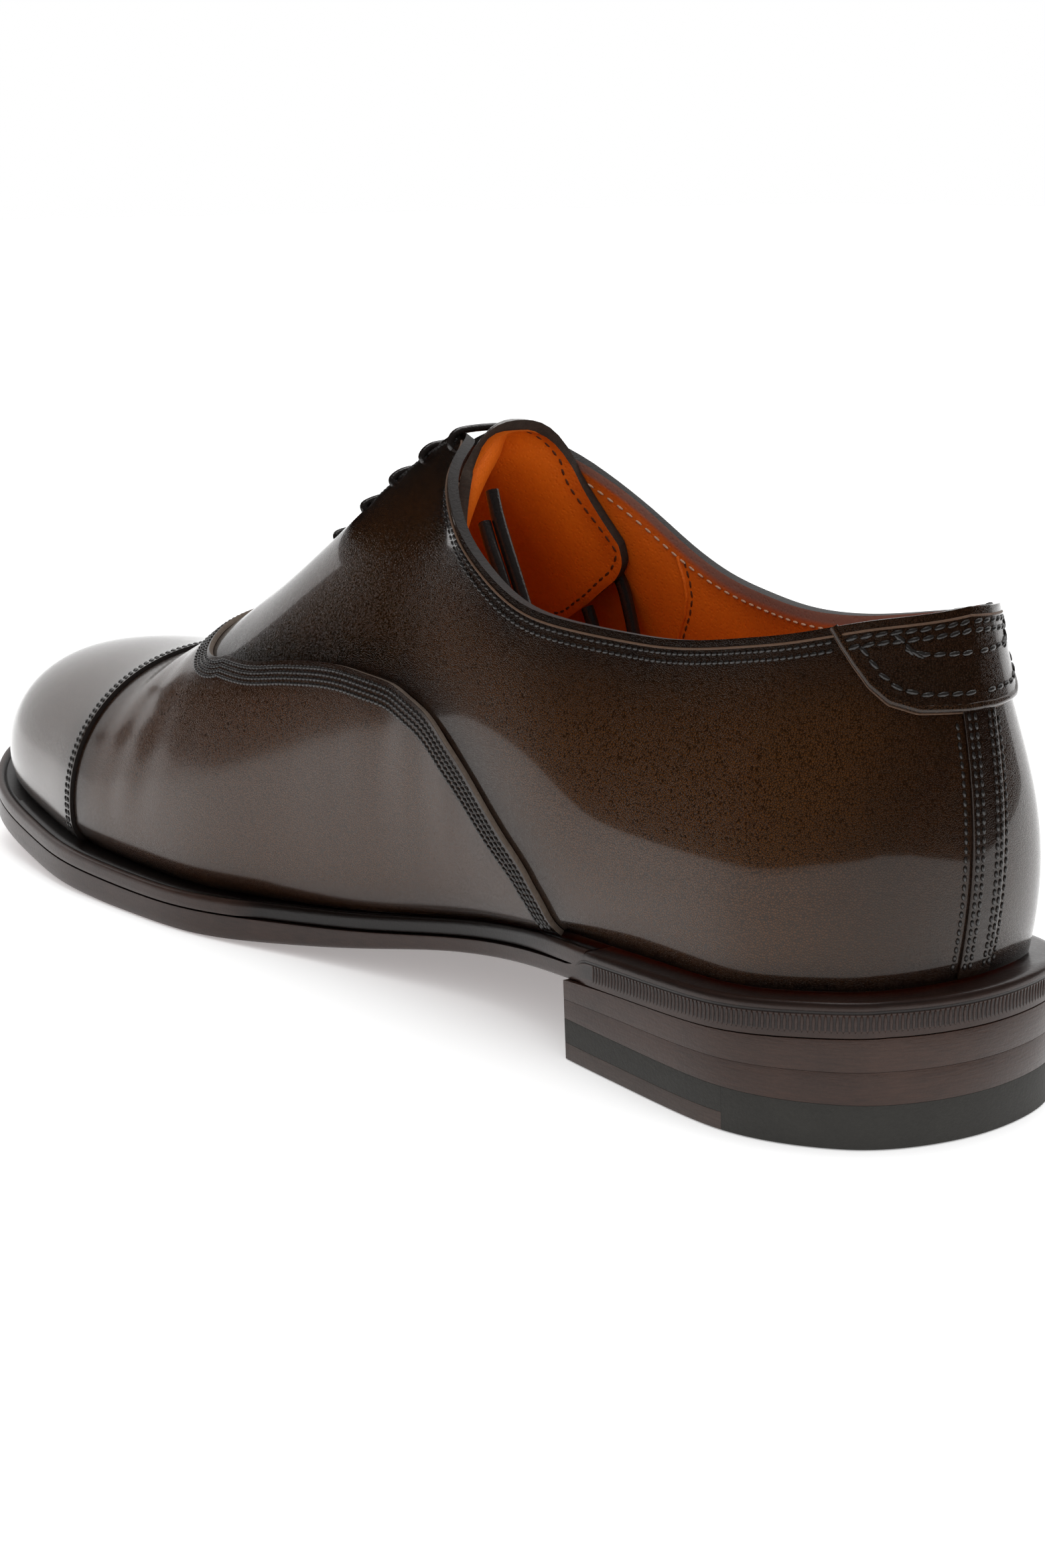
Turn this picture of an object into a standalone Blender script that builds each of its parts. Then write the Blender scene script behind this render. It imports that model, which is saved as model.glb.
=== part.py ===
# Cap toe oxford, right shoe, standing empty on its sole.
# Toe towards +Y, outer side of the foot towards +X, floor at Z = 0.
# Sizes are in millimetres and become metres when a mesh is made.

import math

import bmesh
import bpy
from mathutils import Matrix, Vector

MM = 0.001
LATERAL = 1
MEDIAL = -1
SIDES = (LATERAL, MEDIAL)
CENTRE = (3.55, 145.8)  # middle of the whole shoe seen from above, moved to the origin

# Driving dimensions of the last
LAST_LENGTH = 290.0
BALL_WIDTH = 84.0
INSTEP_HEIGHT = 107.0
HEEL_RISE = 25.8  # feather edge above the floor at the back of the heel

# Thicknesses and gaps
GAP = 0.3
WALL = 2.0  # outer leather and lining together
VAMP_THICK = 0.9
CAP_THICK = 1.7
TAB_THICK = 0.9
TONGUE_THICK = 2.6
INSOLE_THICK = 2.2
WELT_THICK = 3.0
SEAT_GAP = 0.5  # upper to welt

# Sole
SOLE_EDGE = 8.9  # feather edge down to the tread at the ball
SEAT_EDGE = 6.7  # feather edge down to the heel lifts
BREAST = 67.0  # front face of the heel
WAIST_START = 108.0
WAIST_END = 175.0  # the edge has its full thickness from here on
SEAT_MARGIN = 5.0
HEEL_FOOT_MARGIN = 4.2
TOP_PIECE = 7.6
CORNER_THICK = 3.1
CORNER_JOINT = 24.0
LIFT_SHARE = 0.5  # lower lift's share of the two lifts

# Back of the heel, seen from the side
HEEL_LEAN = 4.1
HEEL_BULGE = -4.5
HEEL_REACH = 0.26  # share of the way to the toe over which the lean fades

# Seams
THROAT = 189.8  # front end of the lacing slit
CAP_SEAM = 229.0
TAB_STRIP_HALF = 5.0
TAB_STRIP_REACH = 12.0
TAB_STRIP_TOP = 80.0

# Lace
LACE_RADIUS = 1.3
LACE_HOLE_RADIUS = 2.3
LACE_PAIRS = 5
LACE_PITCH = 11.3
LACE_TOP = 128.5
LACE_INSET = 8.0  # hole centre to the edge of the facing
LACE_CLEAR = 0.3
LACE_TURN = 1.4  # bend beside a hole
LACE_STEP = 2.2

# Grid of the upper
ROWS = 40
COLUMNS = 11

# Rows of the sole's layers
HEEL_ROWS = 14
SOLE_ROWS = 26

# Cutters
BEYOND = 120.0  # past everything they cut
BED_STEP = 6.0
THROAT_POINTS = 10
THROAT_FLOOR = 52.0

# Feather edge, from heel (0) to toe (1)
# way, lateral and medial reach in percent of ball width, height in percent of heel rise
FEATHER = (
    (0.00, 0.0, 0.0, 100.0),
    (0.10, 26.2, -25.0, 98.5),
    (0.20, 33.9, -35.5, 92.5),
    (0.30, 35.7, -32.7, 86.0),
    (0.40, 37.5, -28.0, 66.5),
    (0.50, 45.2, -35.1, 42.0),
    (0.60, 54.2, -44.6, 33.5),
    (0.68, 54.2, -45.8, 36.0),
    (0.75, 45.8, -42.3, 44.0),
    (0.82, 33.3, -37.5, 55.0),
    (0.90, 16.1, -26.0, 68.5),
    (0.95, 5.4, -16.7, 74.4),
    (1.00, -6.0, -6.0, 76.4),
)

# Topline, edge of the facing, then the ridge over the vamp and the toe
# way, lateral and medial reach in percent of ball width, height in percent of instep height
TOPLINE = (
    (0.000, 0.0, 0.0, 81.0),
    (0.100, 15.5, -15.8, 79.7),
    (0.200, 25.8, -25.6, 75.6),
    (0.295, 26.0, -26.7, 72.0),
    (0.362, 29.8, -32.4, 74.0),
    (0.404, 26.0, -32.4, 82.8),
    (0.434, 14.9, -25.6, 94.4),
    (0.456, 4.8, -9.5, 100.2),
    (0.511, 1.4, -5.5, 90.3),
    (0.600, -2.3, -2.3, 66.0),
    (0.700, -3.7, -3.7, 44.8),
    (0.774, -4.2, -4.2, 43.0),
    (0.840, -4.9, -4.9, 40.0),
    (0.900, -5.2, -5.2, 33.6),
    (0.950, -5.7, -5.7, 27.1),
    (1.000, -6.0, -6.0, 18.42),
)

# How each section bulges between the feather edge and the top
# way, lateral and medial bulge in mm, height of the bulge, shoulder, drop of the shoulder
BULGE = (
    (0.00, 0.0, 0.0, 0.39, 0.00, 0.35),
    (0.10, 3.0, 3.0, 0.44, 0.08, 0.35),
    (0.20, 4.5, 4.5, 0.40, 0.10, 0.35),
    (0.30, 5.0, 6.5, 0.40, 0.20, 0.35),
    (0.42, 5.5, 8.0, 0.40, 0.30, 0.25),
    (0.50, 5.5, 7.4, 0.42, 0.37, 0.12),
    (0.60, 5.0, 5.5, 0.47, 0.48, 0.05),
    (0.70, 4.5, 5.0, 0.56, 0.60, 0.02),
    (0.82, 4.0, 5.5, 0.56, 0.59, 0.00),
    (0.92, 3.0, 3.0, 0.55, 0.57, 0.00),
    (1.00, 0.0, 0.0, 0.55, 0.56, 0.00),
)

# Sole edge beyond the feather edge
# way, lateral margin, medial margin
SOLE_MARGIN = (
    (0.00, 5.0, 5.0),
    (0.28, 5.0, 5.0),
    (0.40, 3.5, 1.5),
    (0.48, 4.5, 2.5),
    (0.58, 6.2, 6.0),
    (0.80, 6.4, 6.4),
    (1.00, 6.6, 6.6),
)
WELT_INSIDE = -6.0
TOE_SLOPE = 0.28
INSOLE_INSET = -3.0

# Vamp seam seen from the side: distance from the heel, height
SWAN_NECK = (
    (75.2, 21.2),
    (78.0, 28.0),
    (88.0, 38.0),
    (100.0, 48.0),
    (113.0, 56.2),
    (125.0, 59.4),
    (140.0, 60.4),
    (158.0, 58.7),
    (174.0, 56.2),
    (184.0, 55.8),
)
# Rounded front of the facings seen from above, carrying the vamp seam across the instep
THROAT_MIDDLE = -2.0
THROAT_FRONT = 204.0
THROAT_SQUARENESS = 2.4

# Lower edge of the heel tab seen from the side: distance from the heel, height
TAB_EDGE = (
    (1.5, 71.2),
    (3.5, 71.3),
    (7.0, 73.0),
    (10.0, 75.4),
    (13.0, 78.4),
    (15.5, 81.2),
    (17.5, 85.0),
)

# Tongue, from its stitched end up to its free top
# distance from the heel, depth under the upper's face, lowest rise at the sides, crown, sides set back
TONGUE = (
    (206.0, 2.6, 0.84, 0.0, 0.0),
    (197.0, 2.8, 0.80, 0.0, 0.0),
    (184.0, 6.8, 0.74, 0.3, 0.0),
    (165.0, 7.2, 0.68, 0.6, 0.0),
    (145.0, 7.2, 0.64, 0.8, 0.0),
    (131.0, 7.2, 0.62, 1.0, 2.0),
    (125.0, 6.6, 0.68, 2.2, 5.0),
    (120.5, 4.6, 0.75, 3.6, 8.5),
    (118.0, 3.8, 0.82, 4.4, 9.0),
)
TONGUE_SIDE_POINTS = 5

# Free lace ends inside the shoe, as points along each cord
LACE_END_MEDIAL = (
    (-13.2, 111.6, 96.5),
    (-13.4, 109.8, 92.2),
    (-13.5, 107.2, 87.2),
    (-13.5, 104.4, 82.0),
    (-13.4, 101.6, 76.5),
    (-13.0, 99.0, 71.0),
    (-12.0, 96.6, 65.2),
    (-10.2, 94.4, 59.0),
    (-8.8, 92.6, 52.8),
    (-9.5, 91.9, 49.8),
    (-11.5, 91.4, 47.8),
    (-14.3, 91.2, 47.1),
    (-17.1, 91.4, 47.8),
    (-19.1, 91.9, 49.8),
    (-19.8, 92.6, 52.8),
    (-19.0, 94.8, 59.0),
    (-17.6, 97.2, 65.2),
    (-16.6, 99.8, 71.0),
    (-16.2, 102.6, 76.5),
    (-16.2, 105.4, 82.0),
    (-16.1, 108.2, 86.6),
    (-15.6, 110.8, 90.6),
)
LACE_END_LATERAL = (
    (19.6, 111.4, 76.0),
    (19.8, 110.6, 71.5),
    (19.8, 109.2, 67.0),
    (19.7, 107.6, 62.0),
    (19.6, 105.9, 57.0),
    (19.5, 105.1, 52.8),
    (19.4, 105.8, 49.8),
    (19.2, 107.8, 47.8),
    (19.0, 110.6, 47.1),
    (18.8, 113.4, 47.8),
    (18.6, 115.4, 49.8),
    (18.4, 116.1, 52.8),
    (18.1, 116.4, 57.5),
    (17.8, 117.2, 62.0),
    (17.6, 118.6, 66.0),
    (17.4, 120.4, 70.0),
)
CORD_STEP = 5.0


def spline_slopes(xs, ys):
    # Slopes of a cubic that never overshoots its points.
    steps = [b - a for a, b in zip(xs, xs[1:])]
    rises = [(b - a) / h for a, b, h in zip(ys, ys[1:], steps)]
    slopes = [rises[0]]
    for before, after, left, right in zip(rises, rises[1:], steps, steps[1:]):
        if before * after <= 0:
            slopes.append(0.0)
            continue
        heavy_left = 2 * right + left
        heavy_right = right + 2 * left
        slopes.append((heavy_left + heavy_right) / (heavy_left / before + heavy_right / after))
    slopes.append(rises[-1])
    return slopes


def read_table(table, column, x):
    xs = [row[0] for row in table]
    ys = [row[column] for row in table]
    slopes = SLOPES[table][column]
    x = min(max(x, xs[0]), xs[-1])
    i = max(k for k in range(len(xs) - 1) if xs[k] <= x)
    h = xs[i + 1] - xs[i]
    t = (x - xs[i]) / h
    rise = ys[i] * (1 + 2 * t) * (1 - t) ** 2 + ys[i + 1] * t * t * (3 - 2 * t)
    return rise + h * (slopes[i] * t * (1 - t) ** 2 - slopes[i + 1] * t * t * (1 - t))


def all_slopes(table):
    columns = list(zip(*table))
    return [spline_slopes(columns[0], column) for column in columns]


SLOPES = {table: all_slopes(table) for table in (FEATHER, TOPLINE, BULGE, SOLE_MARGIN)}


def distance_of(way):
    return LAST_LENGTH * (1 - math.cos(math.pi * way)) / 2


def way_of(distance):
    share = min(max(distance / LAST_LENGTH, 0.0), 1.0)
    return math.acos(1 - 2 * share) / math.pi


def smooth_step(low, high, x):
    t = min(max((x - low) / (high - low), 0.0), 1.0)
    return t * t * (3 - 2 * t)


def side_column(side):
    return 1 if side == LATERAL else 2


def feather_height(way):
    return read_table(FEATHER, 3, way) * HEEL_RISE / 100


def feather(way, side):
    reach = read_table(FEATHER, side_column(side), way) * BALL_WIDTH / 100
    return Vector((reach, distance_of(way), feather_height(way)))


def topline(way, side):
    reach = read_table(TOPLINE, side_column(side), way)
    if distance_of(way) >= THROAT:
        reach = (read_table(TOPLINE, 1, way) + read_table(TOPLINE, 2, way)) / 2
    height = read_table(TOPLINE, 3, way)
    return Vector((reach * BALL_WIDTH / 100, distance_of(way), height * INSTEP_HEIGHT / 100))


def surface(way, rise, side):
    # Outer face of the upper: one cubic per section, from the feather edge to the top.
    low = feather(way, side)
    top = topline(way, side)
    tall = top.z - low.z
    bulge = low.x + side * read_table(BULGE, side_column(side), way)
    reach = (
        low.x,
        bulge,
        top.x + read_table(BULGE, 4, way) * (bulge - top.x),
        top.x,
    )
    height = (
        low.z,
        low.z + read_table(BULGE, 3, way) * tall,
        top.z - read_table(BULGE, 5, way) * tall,
        top.z,
    )
    fall = 1 - rise
    weights = (fall**3, 3 * rise * fall**2, 3 * rise**2 * fall, rise**3)
    heel = 1 - smooth_step(0.0, HEEL_REACH, way)
    lean = HEEL_LEAN * rise**2 + HEEL_BULGE * 3 * rise * fall
    return Vector(
        (
            sum(w * x for w, x in zip(weights, reach)),
            low.y + heel * lean,
            sum(w * z for w, z in zip(weights, height)),
        )
    )


def outward(way, rise, side):
    # Unit normal of the upper's outer face.
    step = 0.004
    along = surface(min(way + step, 1.0), rise, side) - surface(max(way - step, 0.0), rise, side)
    up = surface(way, min(rise + step, 1.0), side) - surface(way, max(rise - step, 0.0), side)
    return (along.cross(up) * side).normalized()


def bed(distance):
    # Height of the feather edge, carried on at the toe's slope past the tip of the last.
    past = max(distance - LAST_LENGTH, 0.0)
    return feather_height(way_of(distance)) + past * TOE_SLOPE


def sole_top(distance):
    # The seat carries the upper itself; ahead of the breast the welt lies between.
    ahead = smooth_step(BREAST - 6, BREAST, distance)
    return bed(distance) - SEAT_GAP - ahead * (WELT_THICK + GAP)


def sole_bottom(distance):
    ahead = smooth_step(WAIST_START, WAIST_END, distance)
    return max(0.0, bed(distance) - SEAT_EDGE - ahead * (SOLE_EDGE - SEAT_EDGE))


def outline_point(way, side, margin):
    # Feather edge pushed out by a margin, seen from above.
    step = 0.01
    ahead = feather(min(way + step, 1.0), side)
    behind = feather(max(way - step, 0.0), side)
    if way - step < 0:
        behind = feather(step - way, -side)
    if way + step > 1:
        ahead = feather(2 - way - step, -side)
    along = (ahead - behind).to_2d().normalized()
    point = feather(way, side).to_2d()
    return point + Vector((along.y, -along.x)) * side * margin


# Scene helpers


def clear_scene():
    for item in list(bpy.data.objects):
        bpy.data.objects.remove(item, do_unlink=True)


def new_collection(name):
    made = bpy.data.collections.new(name)
    bpy.context.scene.collection.children.link(made)
    return made


def leather(name, colour, roughness, metallic=0.0):
    made = bpy.data.materials.new(name)
    made.use_nodes = True
    shader = made.node_tree.nodes["Principled BSDF"]
    shader.inputs["Base Color"].default_value = (*colour, 1.0)
    shader.inputs["Roughness"].default_value = roughness
    shader.inputs["Metallic"].default_value = metallic
    return made


def add_part(name, mesh, material):
    mesh.materials.append(material)
    mesh.shade_smooth()
    made = bpy.data.objects.new(name, mesh)
    parts.objects.link(made)
    made.parent = shoe
    return made


def add_cutter(name, mesh):
    made = bpy.data.objects.new(name, mesh)
    cutters.objects.link(made)
    made.parent = shoe
    made.hide_render = True
    made.display_type = "WIRE"
    return made


def finish_mesh(name, build):
    mesh = bpy.data.meshes.new(name)
    bmesh.ops.remove_doubles(build, verts=build.verts, dist=0.00001)
    build.to_mesh(mesh)
    build.free()
    return mesh


def boolean(target, tool, operation):
    made = target.modifiers.new(tool.name, "BOOLEAN")
    made.object = tool
    made.operation = operation


def solidify(target, thickness, offset):
    made = target.modifiers.new("thickness", "SOLIDIFY")
    made.thickness = thickness * MM
    made.offset = offset
    made.use_even_offset = True


def grid_faces(build, rows, turned):
    # Quads between rows of points; points that coincide are merged later.
    verts = [[build.verts.new(point * MM) for point in row] for row in rows]
    for row, after in zip(verts, verts[1:]):
        for j in range(len(row) - 1):
            corners = [row[j], after[j], after[j + 1], row[j + 1]]
            build.faces.new(corners[::-1] if turned else corners)


def upper_skin(name, first_row, last_row):
    # Both sides of the outer face, welded at heel, toe and ridge.
    build = bmesh.new()
    for side in SIDES:
        rows = []
        for i in range(first_row, last_row + 1):
            rows.append([surface(i / ROWS, j / COLUMNS, side) for j in range(COLUMNS + 1)])
        grid_faces(build, rows, side == MEDIAL)
    # Every panel gets the same triangles, so that layers over one another stay parallel.
    bmesh.ops.triangulate(build, faces=build.faces, quad_method="SHORT_EDGE")
    return finish_mesh(name, build)


def loft(name, rings):
    # Closed solid through rings of points, with flat ends.
    build = bmesh.new()
    verts = [[build.verts.new(point * MM) for point in ring] for ring in rings]
    count = len(rings[0])
    for ring, after in zip(verts, verts[1:]):
        for j in range(count):
            k = (j + 1) % count
            build.faces.new((ring[j], ring[k], after[k], after[j]))
    build.faces.new(verts[0][::-1])
    build.faces.new(verts[-1])
    bmesh.ops.remove_doubles(build, verts=build.verts, dist=0.00001)
    bmesh.ops.recalc_face_normals(build, faces=build.faces)
    return finish_mesh(name, build)


def prism(name, outline, low, high, axis):
    # Closed solid between two planes square to an axis.
    place = {
        "X": lambda a, b, c: Vector((c, a, b)),
        "Z": lambda a, b, c: Vector((a, b, c)),
    }[axis]
    rings = [[place(a, b, level) for a, b in outline] for level in (low, high)]
    return loft(name, rings)


def across(low, high, height, count=4):
    # Points from the medial to the lateral edge of a layer, each at the height for its distance.
    row = []
    for i in range(count + 1):
        place = low.lerp(high, i / count)
        row.append(Vector((*place, height(place.y))))
    return row


def layer(name, ways, margins, top, bottom):
    # Layer of the sole: its edge follows the feather edge at a margin.
    rings = []
    for way in ways:
        low = outline_point(way, MEDIAL, margins(way, MEDIAL))
        high = outline_point(way, LATERAL, margins(way, LATERAL))
        rings.append(across(low, high, top) + across(high, low, bottom))
    return loft(name, rings)


def ways_between(start, end, count):
    return [start + (end - start) * i / count for i in range(count + 1)]


def smooth_path(points, step):
    # Evenly spaced points on a smooth curve through a cord's route.
    route = [Vector(point) for point in points]
    path = [route[0]]
    for i in range(len(route) - 1):
        before = route[max(i - 1, 0)]
        after = route[min(i + 2, len(route) - 1)]
        count = max(1, round((route[i + 1] - route[i]).length / step))
        for k in range(1, count + 1):
            t = k / count
            path.append(
                0.5
                * (
                    2 * route[i]
                    + (route[i + 1] - before) * t
                    + (2 * before - 5 * route[i] + 4 * route[i + 1] - after) * t**2
                    + (3 * route[i] - before - 3 * route[i + 1] + after) * t**3
                )
            )
    return path


def tube(name, path, radius, material):
    line = bpy.data.curves.new(name, "CURVE")
    line.dimensions = "3D"
    line.bevel_depth = radius * MM
    line.bevel_resolution = 1
    line.use_fill_caps = True
    spline = line.splines.new("POLY")
    spline.points.add(len(path) - 1)
    for point, place in zip(spline.points, path):
        point.co = (*(place * MM), 1.0)
    line.materials.append(material)
    made = bpy.data.objects.new(name, line)
    parts.objects.link(made)
    made.parent = shoe


# Pieces


def lace_hole(pair, side):
    # Place of a hole on the outer face, with its normal, set back from the facing's edge.
    way = way_of(LACE_TOP + LACE_PITCH * pair)
    edge = surface(way, 1.0, side)
    low, high = 0.4, 1.0
    for _ in range(20):
        middle = (low + high) / 2
        if (surface(way, middle, side) - edge).length > LACE_INSET:
            low = middle
        else:
            high = middle
    return surface(way, low, side), outward(way, low, side)


def make_upper():
    calf = leather("dark_calf", (0.07, 0.035, 0.015), 0.3)
    made = add_part("upper", upper_skin("upper", 0, ROWS), calf)
    solidify(made, WALL, -1.0)
    for side in SIDES:
        for pair in range(LACE_PAIRS):
            place, normal = lace_hole(pair, side)
            build = bmesh.new()
            bmesh.ops.create_cone(
                build,
                cap_ends=True,
                segments=10,
                radius1=LACE_HOLE_RADIUS * MM,
                radius2=LACE_HOLE_RADIUS * MM,
                depth=4 * WALL * MM,
            )
            turn = normal.to_track_quat("Z", "Y").to_matrix().to_4x4()
            build.transform(Matrix.Translation(place * MM) @ turn)
            name = f"lace_hole_{'lateral' if side == LATERAL else 'medial'}_{pair + 1}"
            boolean(made, add_cutter(name, finish_mesh(name, build)), "DIFFERENCE")


def overlay(name, rows, thickness, material):
    # A panel parallel to the outer face, a small gap above it.
    made = add_part(name, upper_skin(name, *rows), material)
    lift = made.modifiers.new("lift", "DISPLACE")
    lift.mid_level = 0.0
    lift.strength = GAP * MM
    solidify(made, thickness, 1.0)
    return made


def above_bed(start, end):
    # Side view of everything above the welt between two distances.
    count = round((end - start) / BED_STEP)
    edge = []
    for i in range(count + 1):
        distance = start + (end - start) * i / count
        edge.append((distance, bed(distance) - SEAT_GAP + GAP))
    return edge


def throat_quarter(side):
    # From the end of the vamp seam on one side round to the middle of the throat's front.
    start, level = SWAN_NECK[-1]
    way = way_of(start)
    low, high = 0.0, 1.0
    for _ in range(20):
        middle = (low + high) / 2
        if surface(way, middle, side).z < level:
            low = middle
        else:
            high = middle
    reach = surface(way, low, side).x - THROAT_MIDDLE
    quarter = []
    for i in range(THROAT_POINTS + 1):
        turn = math.pi / 2 * i / THROAT_POINTS
        sideways = math.cos(turn) ** (2 / THROAT_SQUARENESS)
        forward = math.sin(turn) ** (2 / THROAT_SQUARENESS)
        quarter.append((THROAT_MIDDLE + reach * sideways, start + (THROAT_FRONT - start) * forward))
    return quarter


def make_vamp():
    made = overlay("vamp", (10, 31), VAMP_THICK, leather("vamp_calf", (0.065, 0.032, 0.015), 0.3))
    front = CAP_SEAM - GAP / 2
    outline = list(SWAN_NECK) + [(SWAN_NECK[-1][0], BEYOND), (front, BEYOND)]
    outline += above_bed(SWAN_NECK[0][0], front)[::-1]
    below_seam = add_cutter("vamp_outline", prism("vamp_outline", outline, -BEYOND, BEYOND, "X"))
    boolean(made, below_seam, "INTERSECT")
    ring = throat_quarter(LATERAL) + throat_quarter(MEDIAL)[-2::-1]
    throat = add_cutter("throat_outline", prism("throat_outline", ring, THROAT_FLOOR, BEYOND, "Z"))
    boolean(made, throat, "DIFFERENCE")


def make_toe_cap():
    made = overlay("toe_cap", (26, ROWS), CAP_THICK, leather("cap_calf", (0.06, 0.03, 0.015), 0.25))
    back = CAP_SEAM + GAP / 2
    front = LAST_LENGTH + 20
    outline = above_bed(back, front) + [(front, BEYOND), (back, BEYOND)]
    ahead = add_cutter("cap_outline", prism("cap_outline", outline, -BEYOND, BEYOND, "X"))
    boolean(made, ahead, "INTERSECT")


def make_heel_tab():
    made = overlay("heel_tab", (0, 9), TAB_THICK, leather("tab_calf", (0.05, 0.025, 0.012), 0.35))
    behind = -20.0
    front = TAB_EDGE[-1][0]
    outline = [(behind, TAB_EDGE[0][1])] + list(TAB_EDGE) + [(front, BEYOND), (behind, BEYOND)]
    tab = add_cutter("tab_outline", prism("tab_outline", outline, -BEYOND, BEYOND, "X"))
    half = TAB_STRIP_HALF
    strip = [(-half, behind), (half, behind), (half, TAB_STRIP_REACH), (-half, TAB_STRIP_REACH)]
    seat = bed(0.0) - SEAT_GAP + GAP
    boolean(tab, add_cutter("tab_strip", prism("tab_strip", strip, seat, TAB_STRIP_TOP, "Z")), "UNION")
    boolean(made, tab, "INTERSECT")


def tongue_row(station, thickness):
    # Points across the tongue at one station, from medial edge over the crown to lateral edge.
    distance, depth, lowest, crown, set_back = station
    halves = []
    for side in (MEDIAL, LATERAL):
        half = []
        for i in range(TONGUE_SIDE_POINTS + 1):
            share = i / TONGUE_SIDE_POINTS
            rise = lowest + (1 - lowest) * share
            way = way_of(distance - set_back * (1 - share) ** 2)
            half.append(surface(way, rise, side) - outward(way, rise, side) * (depth + thickness))
        halves.append(half)
    left, right = halves
    middle = []
    for share in (0.25, 0.5, 0.75):
        lift = crown * (1 - (2 * share - 1) ** 2)
        middle.append(left[-1].lerp(right[-1], share) + Vector((0, 0, lift)))
    return left + middle + right[::-1]


def make_tongue():
    rings = []
    for station in TONGUE:
        over = tongue_row(station, 0.0)
        under = tongue_row(station, TONGUE_THICK)
        rings.append(over + under[::-1])
    add_part("tongue", loft("tongue", rings), leather("tongue_leather", (0.4, 0.12, 0.02), 0.5))


def make_insole():
    def margin(way, side):
        return INSOLE_INSET

    def top(distance):
        return bed(distance) - SEAT_GAP + GAP + INSOLE_THICK

    def bottom(distance):
        return bed(distance) - SEAT_GAP + GAP

    mesh = layer("insole", ways_between(0.0, 1.0, SOLE_ROWS), margin, top, bottom)
    add_part("insole", mesh, leather("insole_leather", (0.45, 0.15, 0.03), 0.55))


def sole_margin(way, side):
    return read_table(SOLE_MARGIN, side_column(side), way)


def make_outsole():
    breast = way_of(BREAST)
    ways = ways_between(0.0, breast, HEEL_ROWS) + ways_between(breast, 1.0, SOLE_ROWS)[1:]
    mesh = layer("outsole", ways, sole_margin, sole_top, sole_bottom)
    add_part("outsole", mesh, leather("sole_leather", (0.09, 0.04, 0.02), 0.4))


def make_welt():
    start = way_of(BREAST + 4)
    rings = []
    path = [(way, LATERAL) for way in ways_between(start, 1.0, SOLE_ROWS)]
    path += [(way, MEDIAL) for way in ways_between(1.0, start, SOLE_ROWS)[1:]]
    for way, side in path:
        outer = outline_point(way, side, sole_margin(way, side))
        inner = outline_point(way, side, WELT_INSIDE)
        ring = []
        for place, down in ((inner, 0.0), (outer, 0.0), (outer, WELT_THICK), (inner, WELT_THICK)):
            ring.append(Vector((*place, bed(place.y) - SEAT_GAP - down)))
        rings.append(ring)
    add_part("welt", loft("welt", rings), leather("welt_leather", (0.08, 0.04, 0.02), 0.45))


def heel_margin(height):
    # The heel narrows a little towards the floor.
    share = min(height / (HEEL_RISE - SEAT_EDGE), 1.0)
    return HEEL_FOOT_MARGIN + (SEAT_MARGIN - HEEL_FOOT_MARGIN) * share


def heel_ring(way, top, bottom):
    level = sum(outline_point(way, side, SEAT_MARGIN).y for side in SIDES) / 2
    ring = []
    for height, order in ((top(level), (MEDIAL, LATERAL)), (bottom(level), (LATERAL, MEDIAL))):
        ends = [outline_point(way, side, heel_margin(height)) for side in order]
        ring += [Vector((*ends[0].lerp(ends[1], i / 4), height)) for i in range(5)]
    return ring


def heel_layer(name, distances, top, bottom, material):
    rings = [heel_ring(way_of(distance), top, bottom) for distance in distances]
    add_part(name, loft(name, rings), material)


def make_heel():
    def stack_top(distance):
        return sole_bottom(distance) - GAP

    def lifts_meet(distance):
        return TOP_PIECE + GAP + (stack_top(distance) - TOP_PIECE - GAP) * LIFT_SHARE

    rows = [distance_of(way) for way in ways_between(0.0, way_of(BREAST), HEEL_ROWS)]
    front_rows = [CORNER_JOINT + GAP] + [row for row in rows if row > CORNER_JOINT + 2]
    lift = leather("heel_lift_leather", (0.1, 0.045, 0.02), 0.4)
    heel_layer("heel_lift_upper", rows, stack_top, lifts_meet, lift)
    heel_layer(
        "heel_lift_lower",
        rows,
        lambda distance: lifts_meet(distance) - GAP,
        lambda distance: TOP_PIECE + GAP,
        lift.copy(),
    )
    corner = leather("heel_corner_leather", (0.1, 0.045, 0.02), 0.4)
    heel_layer(
        "heel_top_corner",
        front_rows,
        lambda distance: CORNER_THICK,
        lambda distance: 0.0,
        corner,
    )
    rings = []
    for distance in [row for row in rows if row < CORNER_JOINT - 2] + [CORNER_JOINT]:
        rings.append(heel_ring(way_of(distance), lambda distance: TOP_PIECE, lambda distance: 0.0))
    for distance in [CORNER_JOINT + 0.01] + front_rows[1:]:
        over_corner = CORNER_THICK + GAP
        rings.append(heel_ring(way_of(distance), lambda distance: TOP_PIECE, lambda distance: over_corner))
    rubber = leather("heel_rubber", (0.03, 0.03, 0.03), 0.6)
    add_part("heel_top_rubber", loft("heel_top_rubber", rings), rubber)


def through_hole(pair, side, bar, run):
    # From the run inside, through the hole, to the bar outside, with a short turn at each end.
    place, normal = lace_hole(pair, side)
    inside = place - normal * (WALL + LACE_RADIUS + LACE_CLEAR) + run * LACE_TURN
    outside = place + normal * (LACE_RADIUS + LACE_CLEAR) + bar * LACE_TURN
    return [inside, place - normal * WALL / 2, outside]


def over_edge(pair, side):
    # Where a bar passes over the edge of a facing.
    way = way_of(LACE_TOP + LACE_PITCH * pair)
    return surface(way, 1.0, side) + outward(way, 1.0, side) * (LACE_RADIUS + LACE_CLEAR)


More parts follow.
